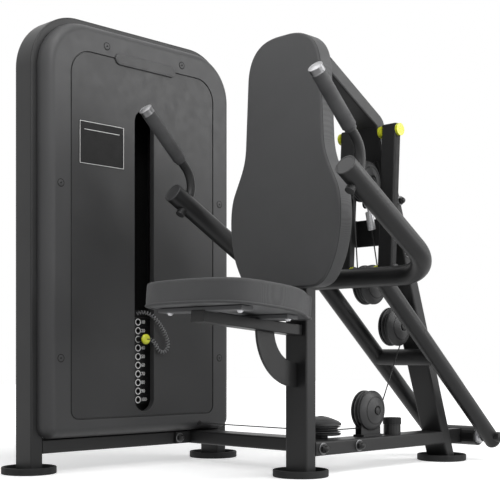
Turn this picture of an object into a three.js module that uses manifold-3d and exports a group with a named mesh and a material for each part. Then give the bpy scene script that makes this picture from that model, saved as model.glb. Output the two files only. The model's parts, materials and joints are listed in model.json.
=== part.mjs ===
// Seated triceps press with a weight tower: a press arm hinged behind the mast drives a cable that lifts
// the picked plates. Millimetres, +Z up. The origin is the middle of the seat post's foot on the floor.
// The user faces -Y and the weight tower stands on the -X side.

import * as THREE from 'three';
import { mergeVertices } from 'three/addons/utils/BufferGeometryUtils.js';
import Module from 'manifold-3d';

const wasm = await Module();
wasm.setup();

// Fits and facet counts
const seatGap = 0.3;
const runGap = 0.5;
const overrun = 30;
const weldTolerance = 0.0001;
const wheelSides = 24;
const tubeSides = 20;
const boltSides = 16;
const smallSides = 12;
const holeSides = 8;
const cordSides = 6;
const bendSteps = 6;
const cornerSteps = 2;
const arcSteps = 6;

// Box tube and round tube stock
const boxWide = 80;
const boxDeep = 40;
const boxCorner = 5;
const strutRadius = 25.4;
const pressRadius = 28.5;
const handleRadius = 12.7;
const barBottom = 56;

// Feet
const footRadius = 78;
const footHeight = 20;
const footFloor = 8;
const footRim = 7;
const footBevel = 2;

// Weight tower
const towerX = -603;
const towerY = -125.5;
const towerLength = 761;
const towerHeight = 1318;
const towerBend = 140;
const headDrop = 198;
const headPulleyDrop = 113;
const headDepth = 30;
const headWide = 50;

// Shrouds and the front one's panel
const shroudLength = 720;
const shroudBottom = 98;
const shroudTop = 1300;
const shroudDepth = 47;
const shroudShoulder = 30;
const shroudWall = 5;
const shroudTopCorner = 145;
const shroudBottomCorner = 35;
const panelLength = 556;
const panelBottom = 152;
const panelTop = 1214;
const panelTopCorner = 70;
const panelBottomCorner = 26;
const panelDepth = 3;
const panelSeam = 2.5;
const slotWidth = 74;
const slotOffset = -7;
const slotBottom = 168;
const slotTop = 1075;
const slotRim = 6;
const cableHole = 6;

// Weight stack
const plateCount = 10;
const carriedCount = 3;
const plateThick = 26;
const plateJoint = 0.4;
const plateJointDepth = 1.5;
const plateLength = 290;
const plateDeep = 96;
const plateCorner = 8;
const stackBottom = 187.4;
const topPlateThick = 24;
const topPlateBevel = 7;
const hubRadius = 20;
const hubHeight = 30;
const rodRadius = 12;
const rodSpacing = 190;
const selectorRadius = 11;
const pinRadius = 4.7;
const knobRadius = 15.5;
const knobLength = 13;
const knobBevel = 4;
const knobSlit = 3;
const neckLength = 30;
const neckRadius = 8;
const pinTail = 12;
const baseWide = 70;
const baseLength = 270;

// Pin tether, a curly cord whose route is chosen by hand
const curlCount = 32;
const curlSteps = 8;
const curlSides = 5;
const curlRadius = 5;
const curlWire = 1.5;
const tetherRoute = [
  [-548, -137, 464], [-535, -121, 467], [-518, -108, 461], [-505, -96, 445], [-501, -80, 425],
  [-500, -64, 402], [-500, -53, 377], [-500, -54, 358], [-501, -70, 346], [-502, -87, 351],
  [-504, -97, 367], [-509, -102, 378], [-519, -103, 385],
];

// Base bars
const linkBarY = 129;
const flangeLength = 200;
const flangeThick = 8;
const flangeInset = 2;

// Seat post and seat
const postTop = 525;
const padLugWide = 60;
const padLugThick = 8;
const padLugTop = 600;
const seatTilt = 4.67;
const seatRootZ = 405;
const seatBeamLength = 368;
const seatBeamWide = 50;
const seatBeamDeep = 30;
const seatBeamCorner = 3;
const gussetOuter = 157;
const gussetInner = 90;
const gussetThick = 8;
const seatPlateDeep = 40;
const seatPlateThick = 16;
const seatPlateRise = 8;
const seatPlateFrontLength = 310;
const seatPlateRearLength = 246;
const seatPlateFront = 351;
const seatPlateRear = 150;
const seatPoints = 48;
const seatPadThick = 70;
const seatPadFront = 435;
const seatPadBack = 24;
const seatPadHalf = 197;
const seatPadCrown = 8;
const seatPadRoll = 17;
const seatPadRearHalf = 98;
const seatPadCorner = 36;
const seatPadStraight = 150;
const seatShares = {
  frontPull: 0.86, hipPull: 0.6, waistPull: 0.7, tailRise: 0.35, tailPull: 0.9, tailFlat: 0.5,
};

// Back pad
const backPoints = 56;
const backPadThick = 58;
const backPadBottom = 519;
const backPadHeight = 694;
const backPadCrown = 4;
const backPadRoll = 10;
const backPadHips = 203;
const backPadShoulders = 137;

// Mast with its head, and the bracket that carries the back pad
const mastBaseY = 678;
const mastLean = 20;
const kneeZ = 1022.8;
const kneeBend = 26;
const headRise = 30;
const headEndY = 84;
const backPlateWide = 140;
const backPlateThick = 6;
const backPlateBottom = 1080;
const backPlateTop = 1190;
const backArmWide = 64;
const backArmBottom = 1128;
const backArmTop = 1172;

// Press arm and its pivot
const pivotY = 790;
const pivotZ = 75;
const strutX = 109;
const strutTail = 38;
const strutEdge = 9;
const shaftRadius = 15;
const housingRadius = 31;
const housingHalf = 66;
const stubWide = 30;
const stubHigh = 46;
const collarRadius = 24;
const collarLength = 6;
const nutRadius = 16;
const nutLength = 14;
const pressBarY = 217;
const pressBarZ = 560;
const pressBarHalf = 302;
const pressBend = 125;
const armEndHalf = 319;
const armEndY = -190;
const armEndZ = 801;
const crossTubeShare = 0.527;
const handleFootY = -168;
const handleFootZ = 741;
const handleKneeY = -102.4;
const handleKneeZ = 834.4;
const handleEndY = -295;
const handleEndZ = 1020;
const handleBend = 75;
const handleX = 314;
const handleSides = 16;
const gripRadius = 19;
const gripLength = 189;
const gripLip = 3;
const gripEndWall = 6;

// Stop bumper
const bumperY = 416;
const bumperRadius = 26;
const bumperPostTop = 127;
const bumperTop = 147;
const bumperLip = 2;

// Pulleys and their brackets
const cableRadius = 2;
const grooveRadius = 51;
const wheelRadius = 55;
const wheelHalf = 8;
const axleRadius = 8;
const cheekThick = 3;
const coverRadius = 58.5;
const coverRim = 5.5;
const coverDome = 19;
const coverHub = 15.4;
const coverDish = 4;
const coverShares = [[0.86, 0.34], [0.48, 0.8]];
const spacerRadius = 20;
const cheekHalf = 45;
const cheekPlate = 6;
const cheekFlange = 8;
const basePulleyY = 299;
const basePulleyZ = 173;
const mastPulleyY = 428;
const mastPulleyZ = 424;
const upperPulleyY = 278;
const upperPulleyZ = 850;
const pressPulleyY = 305;
const pressPulleyZ = 546;
const pressCheekHalf = 24;
const cornerOffset = 15.7;
const towerGroove = 36;
const towerHeadGroove = 40;
const towerRim = 6;
const towerCheekHalf = 20;
const becketY = 299;
const becketZ = 786;
const becketPin = 5;
const becketHalf = 13;
const becketHead = 2;

// Cable end fitting
const eyeRadius = 12;
const eyeThick = 10;
const eyeShank = 5;
const ferruleRadius = 12;
const ferruleStart = 22;
const ferruleLength = 56;
const ferruleBevel = 2;

// Rail cage in front of the mast
const railX = 78;
const railWide = 52;
const railDeep = 25;
const railCorner = 5;
const railBottomY = 286.6;
const railBottomZ = 565;
const railTopY = 310.5;
const railTopZ = 1012;
const cagePlateBottom = 665;
const cagePlateTop = 745;
const cagePlateY = 340;
const cagePlateDeep = 8;
const cageArmThick = 8;
const braceIn = 12;
const braceOut = 20;
const braceBottom = 678;
const braceTop = 718;
const cageBoltTopZ = 994;
const cageBoltBottomZ = 583;
const cageBoltRadius = 8;
const cageCapRadius = 18;
const cageCapLength = 8;

// Places that follow from the sizes above
const barTop = barBottom + boxDeep;
const headBottom = towerHeight - headDrop;
const towerHeadPulleyZ = towerHeight - headPulleyDrop;
const towerFace = towerX + boxWide / 2;
const towerFront = towerY - towerLength / 2;
const towerRear = towerY + towerLength / 2;
const postFace = -boxDeep / 2;
const beamHalf = boxWide / 2;
const platePitch = plateThick + plateJoint;
const stackTop = stackBottom + plateCount * platePitch;
const pinZ = stackTop - carriedCount * platePitch + plateThick / 2;
const plateFace = towerX + plateDeep / 2;
const shroudFace = towerFace + shroudDepth;
const cableLow = basePulleyZ - grooveRadius;
const cornerPulleyX = -grooveRadius;
const cornerPulleyY = linkBarY + cornerOffset;
const towerRunY = cornerPulleyY - grooveRadius;
const lean = THREE.MathUtils.degToRad(mastLean);
const rise = THREE.MathUtils.degToRad(headRise);
const cheekIn = wheelHalf + runGap;
const cheekOut = cheekIn + cheekThick;

const charcoal = 0x2b2b2c;
const materials = {
  frame: new THREE.MeshStandardMaterial({ color: charcoal, roughness: 0.45, metalness: 0.3 }),
  shroud: new THREE.MeshStandardMaterial({ color: 0x3a3a3b, roughness: 0.55, metalness: 0 }),
  panel: new THREE.MeshStandardMaterial({ color: 0x353536, roughness: 0.5, metalness: 0 }),
  dark: new THREE.MeshStandardMaterial({ color: 0x151516, roughness: 0.6, metalness: 0 }),
  upholstery: new THREE.MeshStandardMaterial({ color: 0x3c3c3d, roughness: 0.75, metalness: 0 }),
  rubber: new THREE.MeshStandardMaterial({ color: 0x202021, roughness: 0.85, metalness: 0 }),
  plate: new THREE.MeshStandardMaterial({ color: 0x101011, roughness: 0.5, metalness: 0.4 }),
  steel: new THREE.MeshStandardMaterial({ color: 0xb8b8b8, roughness: 0.3, metalness: 1 }),
  yellow: new THREE.MeshStandardMaterial({ color: 0xe6e22e, roughness: 0.45, metalness: 0 }),
  cable: new THREE.MeshStandardMaterial({ color: 0x3d3d3e, roughness: 0.5, metalness: 0.2 }),
};

const machine = new THREE.Group();

function add(name, geometry, material, parent = machine) {
  const mesh = new THREE.Mesh(geometry, material);
  mesh.name = name;
  parent.add(mesh);
  return mesh;
}

// Solids for cutting and joining
function toSolid(geometry) {
  const bare = new THREE.BufferGeometry();
  bare.setAttribute('position', geometry.getAttribute('position').clone());
  if (geometry.index) bare.setIndex(geometry.index.clone());
  const merged = mergeVertices(bare, weldTolerance);
  return new wasm.Manifold(new wasm.Mesh({
    numProp: 3,
    vertProperties: new Float32Array(merged.getAttribute('position').array),
    triVerts: new Uint32Array(merged.index.array),
  }));
}

function toGeometry(solid) {
  const mesh = solid.getMesh();
  const geometry = new THREE.BufferGeometry();
  geometry.setAttribute('position', new THREE.BufferAttribute(mesh.vertProperties, 3));
  geometry.setIndex(new THREE.BufferAttribute(mesh.triVerts, 1));
  return geometry;
}

function join(...geometries) {
  return toGeometry(geometries.map(toSolid).reduce((whole, piece) => whole.add(piece)));
}

function cut(geometry, ...cutters) {
  return toGeometry(cutters.map(toSolid).reduce((rest, tool) => rest.subtract(tool), toSolid(geometry)));
}

// Turns the faces of a closed mesh outward
function outward(geometry) {
  const place = geometry.getAttribute('position');
  const index = geometry.index;
  const a = new THREE.Vector3();
  const b = new THREE.Vector3();
  const c = new THREE.Vector3();
  let volume = 0;
  for (let i = 0; i < index.count; i += 3) {
    a.fromBufferAttribute(place, index.getX(i));
    b.fromBufferAttribute(place, index.getX(i + 1));
    c.fromBufferAttribute(place, index.getX(i + 2));
    volume += a.dot(b.cross(c));
  }
  if (volume < 0) {
    for (let i = 0; i < index.count; i += 3) {
      const first = index.getX(i);
      index.setX(i, index.getX(i + 1));
      index.setX(i + 1, first);
    }
  }
  return geometry;
}

// A box between two corners
function block(x0, x1, y0, y1, z0, z1) {
  const geometry = new THREE.BoxGeometry(x1 - x0, y1 - y0, z1 - z0);
  return geometry.translate((x0 + x1) / 2, (y0 + y1) / 2, (z0 + z1) / 2);
}

// Points of a rectangle whose lower and upper corners are rounded, anticlockwise
function roundedRectangle(u0, u1, v0, v1, lowRadius, highRadius, steps) {
  const corners = [
    [u1 - lowRadius, v0 + lowRadius, lowRadius, -0.5],
    [u1 - highRadius, v1 - highRadius, highRadius, 0],
    [u0 + highRadius, v1 - highRadius, highRadius, 0.5],
    [u0 + lowRadius, v0 + lowRadius, lowRadius, 1],
  ];
  const points = [];
  for (const [u, v, radius, startShare] of corners) {
    for (let i = 0; i <= steps; i++) {
      const angle = Math.PI * (startShare + 0.5 * i / steps);
      points.push(new THREE.Vector2(u + radius * Math.cos(angle), v + radius * Math.sin(angle)));
    }
  }
  return points;
}

function circlePoints(radius, sides) {
  return Array.from({ length: sides }, (_, i) => {
    const angle = 2 * Math.PI * i / sides;
    return new THREE.Vector2(radius * Math.cos(angle), radius * Math.sin(angle));
  });
}

// A flat outline in Y and Z, given a thickness along X
function slabAcrossX(points, x0, x1, holes = []) {
  const shape = new THREE.Shape(points);
  shape.holes = holes.map((hole) => new THREE.Path(hole));
  const geometry = new THREE.ExtrudeGeometry(shape, { depth: x1 - x0, bevelEnabled: false });
  const turn = new THREE.Matrix4().makeBasis(
    new THREE.Vector3(0, 1, 0), new THREE.Vector3(0, 0, 1), new THREE.Vector3(1, 0, 0));
  return geometry.applyMatrix4(turn).translate(x0, 0, 0);
}

// A flat outline in X and Y, given a thickness along Z
function slabAcrossZ(points, z0, z1) {
  const options = { depth: z1 - z0, bevelEnabled: false };
  return new THREE.ExtrudeGeometry(new THREE.Shape(points), options).translate(0, 0, z0);
}

// A turned piece from radius and height points, standing along Z
function turned(points, sides) {
  const profile = points.map(([radius, height]) => new THREE.Vector2(radius, height));
  const lathe = new THREE.LatheGeometry(profile, sides).rotateX(Math.PI / 2);
  const bare = new THREE.BufferGeometry();
  bare.setAttribute('position', lathe.getAttribute('position'));
  bare.setIndex(lathe.index);
  const whole = mergeVertices(bare, weldTolerance);
  return outward(dropFlatFaces(whole));
}

// Leaves out the zero-area faces that a turned profile has on its axis
function dropFlatFaces(geometry) {
  const kept = [];
  const index = geometry.index;
  for (let i = 0; i < index.count; i += 3) {
    const face = [index.getX(i), index.getX(i + 1), index.getX(i + 2)];
    if (new Set(face).size === 3) kept.push(...face);
  }
  geometry.setIndex(kept);
  return geometry;
}

function rod(radius, length, sides) {
  return turned([[0, 0], [radius, 0], [radius, length], [0, length]], sides);
}

// A round bar along X, from x0 to x1 at y and z
function rodAcross(radius, x0, x1, y, z, sides) {
  return rod(radius, x1 - x0, sides).rotateY(Math.PI / 2).translate(x0, y, z);
}

// Skins rings of equal counts, one after another, and closes both ends
function skin(rings) {
  const count = rings[0].length;
  const positions = rings.flat().flatMap((point) => [point.x, point.y, point.z]);
  const faces = [];
  for (let i = 0; i + 1 < rings.length; i++) {
    for (let j = 0; j < count; j++) {
      const a = i * count + j;
      const b = i * count + (j + 1) % count;
      faces.push(a, b, b + count, a, b + count, a + count);
    }
  }
  const closeEnd = (start, ring, flip) => {
    const middle = ring.reduce((sum, point) => sum.add(point), new THREE.Vector3()).divideScalar(count);
    const hub = positions.length / 3;
    positions.push(middle.x, middle.y, middle.z);
    for (let j = 0; j < count; j++) {
      const here = start + j;
      const next = start + (j + 1) % count;
      if (flip) faces.push(hub, next, here);
      else faces.push(hub, here, next);
    }
  };
  closeEnd(0, rings[0], true);
  closeEnd((rings.length - 1) * count, rings[rings.length - 1], false);
  const geometry = new THREE.BufferGeometry();
  geometry.setAttribute('position', new THREE.Float32BufferAttribute(positions, 3));
  geometry.setIndex(faces);
  return outward(geometry);
}

// Stations along straight runs that are joined by bends of the given radii
function bentPath(points, radii) {
  const heading = (i) => points[i + 1].clone().sub(points[i]).normalize();
  const stations = [{ point: points[0], tangent: heading(0) }];
  for (let i = 1; i + 1 < points.length; i++) {
    const before = heading(i - 1);
    const after = heading(i);
    const turn = before.angleTo(after);
    const axis = before.clone().cross(after).normalize();
    const start = points[i].clone().addScaledVector(before, -radii[i - 1] * Math.tan(turn / 2));
    const centre = start.clone().addScaledVector(axis.clone().cross(before), radii[i - 1]);
    for (let k = 0; k <= bendSteps; k++) {
      const angle = turn * k / bendSteps;
      const spoke = start.clone().sub(centre).applyAxisAngle(axis, angle);
      const tangent = before.clone().applyAxisAngle(axis, angle);
      stations.push({ point: centre.clone().add(spoke), tangent });
    }
  }
  stations.push({ point: points[points.length - 1], tangent: heading(points.length - 2) });
  return stations;
}

// Carries a flat section along stations; its first axis starts along the given direction
function sweep(stations, section, firstAxis) {
  let across = firstAxis.clone();
  const rings = stations.map(({ point, tangent }) => {
    across.addScaledVector(tangent, -across.dot(tangent)).normalize();
    const side = tangent.clone().cross(across);
    return section.map(({ x, y }) => point.clone().addScaledVector(across, x).addScaledVector(side, y));
  });
  return skin(rings);
}

const xAxis = new THREE.Vector3(1, 0, 0);

function boxSection(wide, deep, corner, extra = 0) {
  const halfWide = wide / 2 + extra;
  const halfDeep = deep / 2 + extra;
  return roundedRectangle(-halfWide, halfWide, -halfDeep, halfDeep, corner, corner, cornerSteps);
}

// A round tube along stations
function tube(stations, radius, sides = tubeSides) {
  return sweep(stations, circlePoints(radius, sides), xAxis);
}

function inYZ(y, z, x = 0) {
  return new THREE.Vector3(x, y, z);
}

// Feet, round cups that the posts stand in
function makeFeet() {
  const profile = [
    [0, 0], [footRadius - footBevel, 0], [footRadius, footBevel], [footRadius, footHeight],
    [footRadius - footRim, footHeight], [footRadius - footRim - footBevel, footFloor], [0, footFloor],
  ];
  const places = {
    foot_seat_post: [0, 0],
    foot_mast: [0, mastBaseY],
    foot_tower_front: [towerX, towerFront + boxDeep / 2],
    foot_tower_rear: [towerX, towerRear - boxDeep / 2],
  };
  for (const [name, [x, y]] of Object.entries(places)) {
    add(name, turned(profile, wheelSides), materials.rubber).position.set(x, y, 0);
  }
}

// Tower: one bent tube from foot to foot, the bar across its bottom and the cheeks of the lowest pulley
const standZ = footFloor + seatGap;
const towerPulleyX = towerX + towerGroove;
const towerPulleyZ = cableLow + towerGroove;

function towerCheek(side) {
  const inner = towerRunY + side * cheekIn;
  const outer = towerRunY + side * cheekOut;
  const left = towerPulleyX - towerCheekHalf;
  const right = towerFace - seatGap;
  const low = barTop - flangeInset;
  const high = towerPulleyZ + towerCheekHalf;
  return block(left, right, Math.min(inner, outer), Math.max(inner, outer), low, high);
}

function makeTowerFrame() {
  const front = towerFront + boxDeep / 2;
  const rear = towerRear - boxDeep / 2;
  const top = towerHeight - boxDeep / 2;
  const path = bentPath([inYZ(front, standZ, towerX), inYZ(front, top, towerX), inYZ(rear, top, towerX),
    inYZ(rear, standZ, towerX)], [towerBend, towerBend]);
  const arch = sweep(path, boxSection(boxWide, boxDeep, boxCorner), xAxis);
  const bar = sweep(bentPath([inYZ(front, barBottom + boxDeep / 2, towerX),
    inYZ(rear, barBottom + boxDeep / 2, towerX)], []), boxSection(boxWide, boxDeep, boxCorner), xAxis);
  const axle = rod(axleRadius, 2 * cheekOut, smallSides).rotateX(-Math.PI / 2)
    .translate(towerPulleyX, towerRunY - cheekOut, towerPulleyZ);
  add('tower_frame', join(arch, bar, towerCheek(-1), towerCheek(1), axle), materials.frame);
}

// Head beam inside the tower: it holds the guide rods' tops and the two upper pulleys
const headPulleyRear = towerRunY - towerHeadGroove;
const headPulleyFront = towerY + towerHeadGroove;

function makeTowerHead() {
  const start = towerFront + boxDeep + seatGap;
  const end = towerRear - boxDeep - seatGap;
  const half = headWide / 2;
  const beam = block(towerX - half, towerX + half, start, end, headBottom, headBottom + headDepth);
  const cheeks = [-1, 1].map((side) => {
    const inner = towerX + side * cheekIn;
    const outer = towerX + side * cheekOut;
    return block(Math.min(inner, outer), Math.max(inner, outer), headPulleyFront - towerCheekHalf,
      headPulleyRear + towerCheekHalf, headBottom + headDepth / 2, towerHeadPulleyZ + towerCheekHalf);
  });
  const axles = [headPulleyRear, headPulleyFront].map((y) =>
    rodAcross(axleRadius, towerX - cheekOut, towerX + cheekOut, y, towerHeadPulleyZ, smallSides));
  const cableHoles = [towerRunY, towerY].map((y) =>
    rod(cableRadius * 3, headDepth + 2 * overrun, smallSides).translate(towerX, y, headBottom - overrun));
  add('tower_head', cut(join(beam, ...cheeks, ...axles), ...cableHoles), materials.frame);
}

// Shrouds: a shell with soft shoulders, open to the tower; depth runs along +X from the tower's face
function shroudOutline(inset, x) {
  const half = shroudLength / 2 - inset;
  const middle = towerY;
  const points = roundedRectangle(middle - half, middle + half, shroudBottom + inset, shroudTop - inset,
    Math.max(shroudBottomCorner - inset, boxCorner), shroudTopCorner - inset, arcSteps);
  return points.map(({ x: y, y: z }) => new THREE.Vector3(x, y, z));
}

function shroudShell(wall) {
  const rings = [shroudOutline(wall, towerFace - (wall > 0 ? overrun : 0))];
  for (let i = 0; i <= arcSteps; i++) {
    const angle = 0.5 * Math.PI * i / arcSteps;
    const inset = shroudShoulder * (1 - Math.cos(angle)) + wall;
    const depth = (shroudDepth - wall) * Math.sin(angle);
    rings.push(shroudOutline(inset, towerFace + seatGap + depth));
  }
  return rings;
}

function shroudBody() {
  const outer = shroudShell(0).slice(1);
  const inner = shroudShell(shroudWall);
  return cut(skin(outer), skin(inner));
}

const panelHalf = panelLength / 2;
const slotCentre = towerY + slotOffset;

function panelOutline(inset) {
  return roundedRectangle(towerY - panelHalf + inset, towerY + panelHalf - inset,
    panelBottom + inset, panelTop - inset, panelBottomCorner - inset, panelTopCorner - inset, arcSteps);
}

function slotOutline(extra) {
  const half = slotWidth / 2 + extra;
  return roundedRectangle(slotCentre - half, slotCentre + half, slotBottom - extra, slotTop + extra,
    half, half, arcSteps);
}

function makeShrouds() {
  const front = shroudFace + seatGap;
  const pocket = slabAcrossX(panelOutline(0), front - panelDepth - seatGap, front + overrun);
  const slotHole = slabAcrossX(slotOutline(slotRim), towerFace, front + overrun);
  const hole = rodAcross(cableHole, towerFace - overrun, front + overrun, towerRunY, cableLow, smallSides);
  add('front_shroud', cut(shroudBody(), pocket, slotHole, hole), materials.shroud);
  add('rear_shroud', outward(shroudBody().clone().scale(-1, 1, 1).translate(2 * towerX, 0, 0)),
    materials.shroud);
  const panel = slabAcrossX(panelOutline(panelSeam), front - panelDepth, front);
  const panelSlot = slabAcrossX(slotOutline(0), front - overrun, front + overrun);
  add('front_panel', cut(panel, panelSlot), materials.panel);
}

// Weight stack
function plateShape(inset) {
  const halfDeep = plateDeep / 2 - inset;
  const halfLong = plateLength / 2 - inset;
  return roundedRectangle(-halfDeep, halfDeep, -halfLong, halfLong, plateCorner, plateCorner, cornerSteps);
}

function plateHoles(z0, z1) {
  const length = z1 - z0 + 2 * overrun;
  return [
    rod(selectorRadius + runGap, length, smallSides).translate(0, 0, z0 - overrun),
    rod(rodRadius + runGap, length, smallSides).translate(0, -rodSpacing / 2, z0 - overrun),
    rod(rodRadius + runGap, length, smallSides).translate(0, rodSpacing / 2, z0 - overrun),
  ];
}

function pinHole(z) {
  const start = -selectorRadius - 2 * pinTail;
  return rodAcross(pinRadius + runGap, start, plateDeep / 2 + overrun, 0, z, holeSides);
}

// Plates that move or rest together, counted up from the stack's bottom
function plateBlock(first, count) {
  const slabs = [];
  const holes = [];
  for (let i = first; i < first + count; i++) {
    const low = stackBottom + i * platePitch;
    slabs.push(slabAcrossZ(plateShape(0), low, low + plateThick));
    holes.push(pinHole(low + plateThick / 2));
  }
  const bottom = stackBottom + first * platePitch;
  const top = bottom + count * platePitch - plateJoint;
  const core = slabAcrossZ(plateShape(plateJointDepth), bottom + plateJoint, top - plateJoint);
  return cut(join(core, ...slabs), ...plateHoles(bottom, top), ...holes);
}

function makeStack() {
  const stack = new THREE.Group();
  stack.position.set(towerX, towerY, 0);
  machine.add(stack);
  const resting = plateCount - carriedCount;
  add('resting_plates', plateBlock(0, resting), materials.plate, stack);
  add('carried_plates', plateBlock(resting, carriedCount), materials.plate, stack);

  const bevel = new THREE.Shape(plateShape(0));
  const top = new THREE.ExtrudeGeometry(bevel, { depth: topPlateThick - topPlateBevel, bevelEnabled: false })
    .translate(0, 0, stackTop);
  const ringAt = (inset, z) => plateShape(inset).map(({ x, y }) => new THREE.Vector3(x, y, z));
  const slope = skin([ringAt(0, stackTop + topPlateThick - topPlateBevel - seatGap),
    ringAt(0, stackTop + topPlateThick - topPlateBevel), ringAt(topPlateBevel, stackTop + topPlateThick)]);
  const hub = rod(hubRadius, topPlateThick / 2 + hubHeight, tubeSides)
    .translate(0, 0, stackTop + topPlateThick / 2);
  const selector = rod(selectorRadius, stackTop - stackBottom, smallSides)
    .translate(0, 0, stackBottom + plateJoint);
  const selectorHoles = Array.from({ length: plateCount }, (_, i) =>
    rodAcross(pinRadius + runGap, -selectorRadius - overrun, selectorRadius + overrun, 0,
      stackBottom + i * platePitch + plateThick / 2, holeSides));
  const cutSelector = cut(selector, ...selectorHoles);
  const body = cut(join(top, slope), ...plateHoles(stackTop, stackTop + topPlateThick).slice(1));
  add('top_plate', join(body, hub, cutSelector), materials.plate, stack);

  const base = block(-baseWide / 2, baseWide / 2, -baseLength / 2, baseLength / 2, barTop + seatGap,
    stackBottom - seatGap);
  add('stack_base', cut(base, ...plateHoles(barTop, stackBottom).slice(1)), materials.rubber, stack);
  const rodLength = headBottom - barTop - 2 * seatGap;
  for (const [name, side] of [['guide_rod_front', -1], ['guide_rod_rear', 1]]) {
    add(name, rod(rodRadius, rodLength, smallSides), materials.steel, stack)
      .position.set(0, side * rodSpacing / 2, barTop + seatGap);
  }

  const reach = selectorRadius + pinTail;
  const neckStart = plateDeep / 2 + seatGap;
  const knobStart = neckStart + neckLength;
  const knobEnd = knobStart + knobLength;
  const pin = turned([
    [0, -reach], [pinRadius, -reach], [pinRadius, neckStart], [neckRadius, neckStart],
    [neckRadius, knobStart], [knobRadius, knobStart + knobBevel], [knobRadius, knobEnd - knobBevel],
    [knobRadius - knobBevel, knobEnd], [0, knobEnd],
  ], tubeSides).rotateY(Math.PI / 2);
  const slitEnd = knobRadius + overrun;
  const slit = block(knobEnd - knobSlit, knobEnd + overrun, 0, slitEnd, -knobSlit / 2, knobSlit / 2);
  add('selector_pin', cut(pin, slit), materials.yellow, stack).position.set(0, 0, pinZ);
}

// Curly cord from the top plate to the pin, wound as one helix round its route
function makeTether() {
  const route = new THREE.CatmullRomCurve3(tetherRoute.map((place) => new THREE.Vector3(...place)));
  const steps = curlCount * curlSteps;
  const frames = route.computeFrenetFrames(steps, false);
  let across = frames.normals[0].clone();
  const centres = [];
  for (let i = 0; i <= steps; i++) {
    const tangent = route.getTangentAt(i / steps);
    across.addScaledVector(tangent, -across.dot(tangent)).normalize();
    const side = tangent.clone().cross(across);
    const angle = 2 * Math.PI * i / curlSteps;
    centres.push(route.getPointAt(i / steps).addScaledVector(across, curlRadius * Math.cos(angle))
      .addScaledVector(side, curlRadius * Math.sin(angle)));
  }
  const stations = centres.map((point, i) => {
    const ahead = centres[Math.min(i + 1, steps)];
    const behind = centres[Math.max(i - 1, 0)];
    return { point, tangent: ahead.clone().sub(behind).normalize() };
  });
  let least = Infinity;
  for (let i = 0; i <= steps; i++) {
    for (let j = i + curlSteps / 2; j <= steps; j++) {
      least = Math.min(least, centres[i].distanceTo(centres[j]));
    }
  }
  console.log('Pin tether: least gap to itself', (least - 2 * curlWire).toFixed(2), 'mm');
  add('pin_tether', sweep(stations, circlePoints(curlWire, curlSides), frames.normals[0]), materials.cable);
}

// Mast: a leaning tube that bends forward at its head, with the back pad's bracket on its end
function mastPoint(z) {
  return inYZ(mastBaseY - z * Math.tan(lean), z);
}

function mastSweep(extra) {
  const knee = mastPoint(kneeZ);
  const headLength = (knee.y - headEndY) / Math.cos(rise) + overrun;
  const headEnd = inYZ(knee.y - headLength * Math.cos(rise), knee.z + headLength * Math.sin(rise));
  return sweep(bentPath([mastPoint(-overrun), knee, headEnd], [kneeBend]),
    boxSection(boxWide, boxDeep, boxCorner, extra), xAxis);
}

function cageBoltY(z) {
  return railBottomY + (railTopY - railBottomY) * (z - railBottomZ) / (railTopZ - railBottomZ);
}

function makeMast() {
  const reach = mastBaseY + boxWide;
  const below = block(-boxWide, boxWide, -reach, reach, -boxWide * 2, standZ);
  const ahead = block(-boxWide, boxWide, -reach, headEndY, kneeZ, kneeZ * 2);
  const bore = rodAcross(cageBoltRadius + runGap, -boxWide, boxWide, cageBoltY(cageBoltTopZ), cageBoltTopZ,
    boltSides);
  const arm = block(-backArmWide / 2, backArmWide / 2, postFace, headEndY + flangeInset, backArmBottom,
    backArmTop);
  const plate = block(-backPlateWide / 2, backPlateWide / 2, postFace, postFace + backPlateThick,
    backPlateBottom, backPlateTop);
  add('mast', join(cut(mastSweep(0), below, ahead, bore), arm, plate), materials.frame);
}

// Base: the centre beam with the stop's post, and the bar that ties it to the tower
function makeBase() {
  const middle = barBottom + boxDeep / 2;
  const straight = (from, to) => sweep([from, to].map((point) => ({
    point, tangent: to.clone().sub(from).normalize() })), boxSection(boxWide, boxDeep, boxCorner),
  Math.abs(to.x - from.x) > 0 ? new THREE.Vector3(0, 1, 0) : xAxis);
  const whole = straight(inYZ(boxDeep / 2 + seatGap, middle), inYZ(mastBaseY, middle));
  const beam = cut(whole, mastSweep(seatGap));
  const beamFront = toGeometry(toSolid(beam).subtract(toSolid(
    block(-boxWide, boxWide, mastBaseY - boxDeep / 2, mastBaseY + boxWide, 0, barTop + overrun))));
  const post = rod(bumperRadius, bumperPostTop - middle, tubeSides).translate(0, bumperY, middle);
  add('centre_beam', join(beamFront, post), materials.frame);

  const tower = towerFace + seatGap;
  const side = -beamHalf - seatGap;
  const bar = straight(inYZ(linkBarY, middle, tower), inYZ(linkBarY, middle, side));
  const flange = (x) => block(x, x + flangeThick, linkBarY - flangeLength / 2, linkBarY + flangeLength / 2,
    barBottom + flangeInset, barTop - flangeInset);
  add('tower_link_bar', join(bar, flange(tower), flange(side - flangeThick)), materials.frame);

  const lip = bumperRadius + bumperLip;
  const low = bumperPostTop + seatGap;
  const pad = turned([[0, low], [lip, low], [lip, bumperTop - bumperLip], [lip - bumperLip, bumperTop],
    [0, bumperTop]], tubeSides);
  add('bumper_pad', pad, materials.rubber).position.set(0, bumperY, 0);
}

// Seat post with the lug behind the back pad
function makeSeatPost() {
  const post = sweep(bentPath([inYZ(0, standZ), inYZ(0, postTop)], []),
    boxSection(boxWide, boxDeep, boxCorner), xAxis);
  const lug = block(-padLugWide / 2, padLugWide / 2, postFace, postFace + padLugThick,
    postTop - padLugThick * 2, padLugTop);
  add('seat_post', join(post, lug), materials.frame);
}

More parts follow.
